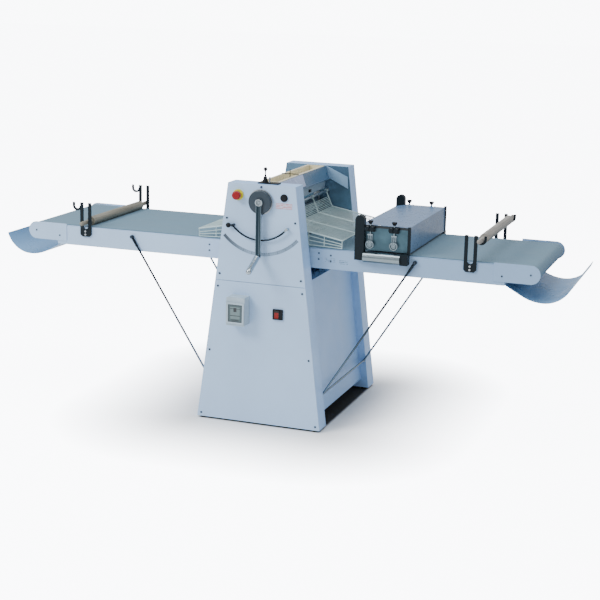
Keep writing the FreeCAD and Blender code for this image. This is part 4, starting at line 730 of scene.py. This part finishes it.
# The floor glows to camera rays only, and the world shows to them brighter than it lights the machine:
# this gives the pale background. The dark patch painted on the floor stands in for the shadow under the
# towers, and the glow fades in around it.
FLOOR_GLOW = 9.0
SKY_GLOW = 10.0
SKY_LIGHT = 0.8
FLOOR_HALF = 40
PATCH_INSET = 0.012
PATCH_EDGE = 0.016
GLOW_START, GLOW_FULL, GLOW_CURVE = 0.02, 0.75, 1.6

ground = Tree("floor")
position = ground.add("ShaderNodeNewGeometry").outputs["Position"]
ground_x, ground_y, _ = ground.split(position)
tower_low, tower_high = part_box("front_tower")
beyond = []
for coordinate, middle_at, reach in ((ground_x, 0.0, tower_high.x), (ground_y, MIDDLE_Y, MIDDLE_Y - tower_low.y)):
    off = ground.maths("ABSOLUTE", ground.maths("SUBTRACT", coordinate, middle_at))
    over = ground.maths("MAXIMUM", ground.maths("SUBTRACT", off, reach - PATCH_INSET), 0.0)
    beyond.append(ground.maths("POWER", over, 2.0))
apart = ground.maths("SQRT", ground.maths("ADD", *beyond))
cloud = ground.spread(ground.noise(position, 2.0, 3), 0, 1)
pale = ground.mixed(cloud, (0.93, 0.94, 0.95), (0.95, 0.955, 0.96))
patch = ground.mixed(ground.spread(apart, 1, 0, 0.0, PATCH_EDGE), pale, (0.012, 0.012, 0.013))
ground.link(patch, ground.shader.inputs["Base Color"])
ground.set(Roughness=0.85, Emission_Color=(0.93, 0.95, 1.0, 1))
fade = ground.maths("POWER", ground.spread(apart, 0, 1, GLOW_START, GLOW_FULL), GLOW_CURVE)
camera_ray = ground.add("ShaderNodeLightPath").outputs["Is Camera Ray"]
glow = ground.maths("MULTIPLY", ground.maths("MULTIPLY", camera_ray, fade), FLOOR_GLOW)
ground.link(glow, ground.shader.inputs["Emission Strength"])
floor_corners = [(x * FLOOR_HALF, y * FLOOR_HALF, 0) for x, y in ((-1, -1), (1, -1), (1, 1), (-1, 1))]
floor = add_mesh("studio_floor", floor_corners, [(0, 1, 2, 3)], ground.material)

world = bpy.data.worlds.new("studio")
bpy.context.scene.world = world
world.use_nodes = True
backdrop = world.node_tree.nodes["Background"]
backdrop.inputs["Color"].default_value = (0.93, 0.96, 1.0, 1)
sky_path = world.node_tree.nodes.new("ShaderNodeLightPath")
sky_mix = world.node_tree.nodes.new("ShaderNodeMapRange")
sky_mix.inputs["To Min"].default_value = SKY_LIGHT
sky_mix.inputs["To Max"].default_value = SKY_GLOW
world.node_tree.links.new(sky_path.outputs["Is Camera Ray"], sky_mix.inputs["Value"])
world.node_tree.links.new(sky_mix.outputs["Result"], backdrop.inputs["Strength"])


def area_light(name, place, target, size, power, colour):
    data = bpy.data.lights.new(name, "AREA")
    data.shape = "RECTANGLE"
    data.size, data.size_y = size
    data.energy = power
    data.color = colour
    obj = bpy.data.objects.new(name, data)
    obj.location = place
    obj.rotation_euler = (Vector(target) - Vector(place)).to_track_quat("-Z", "Y").to_euler()
    bpy.context.scene.collection.objects.link(obj)


middle = (cad_box[0] + cad_box[1]) / 2
area_light("key", (-3.4, -4.2, 4.6), middle, (2.6, 2.0), 330, (1.0, 0.99, 0.98))
area_light("top", (0.2, -0.4, 5.2), middle, (4.0, 2.5), 150, (0.96, 0.98, 1.0))

# The camera of the photograph, solved about the middle plane of the towers.
CAMERA_PLACE = (2.3896, -6.6409, 2.1677)
CAMERA_LENS = 85.57
camera_data = bpy.data.cameras.new("camera")
camera_data.sensor_width = 36.0
camera_data.lens = CAMERA_LENS
camera_data.clip_end = 100
camera = bpy.data.objects.new("camera", camera_data)
bpy.context.scene.collection.objects.link(camera)
right = Vector((0.94098, 0.33769, 0.02309))
up = Vector((-0.09747, 0.20502, 0.97389))
forward = Vector((-0.32414, 0.91866, -0.22583))
rotation = Matrix((right, up, -forward)).transposed().to_4x4()
camera.matrix_world = Matrix.Translation(Vector(CAMERA_PLACE) + Vector((0, MIDDLE_Y, 0))) @ rotation
bpy.context.scene.camera = camera
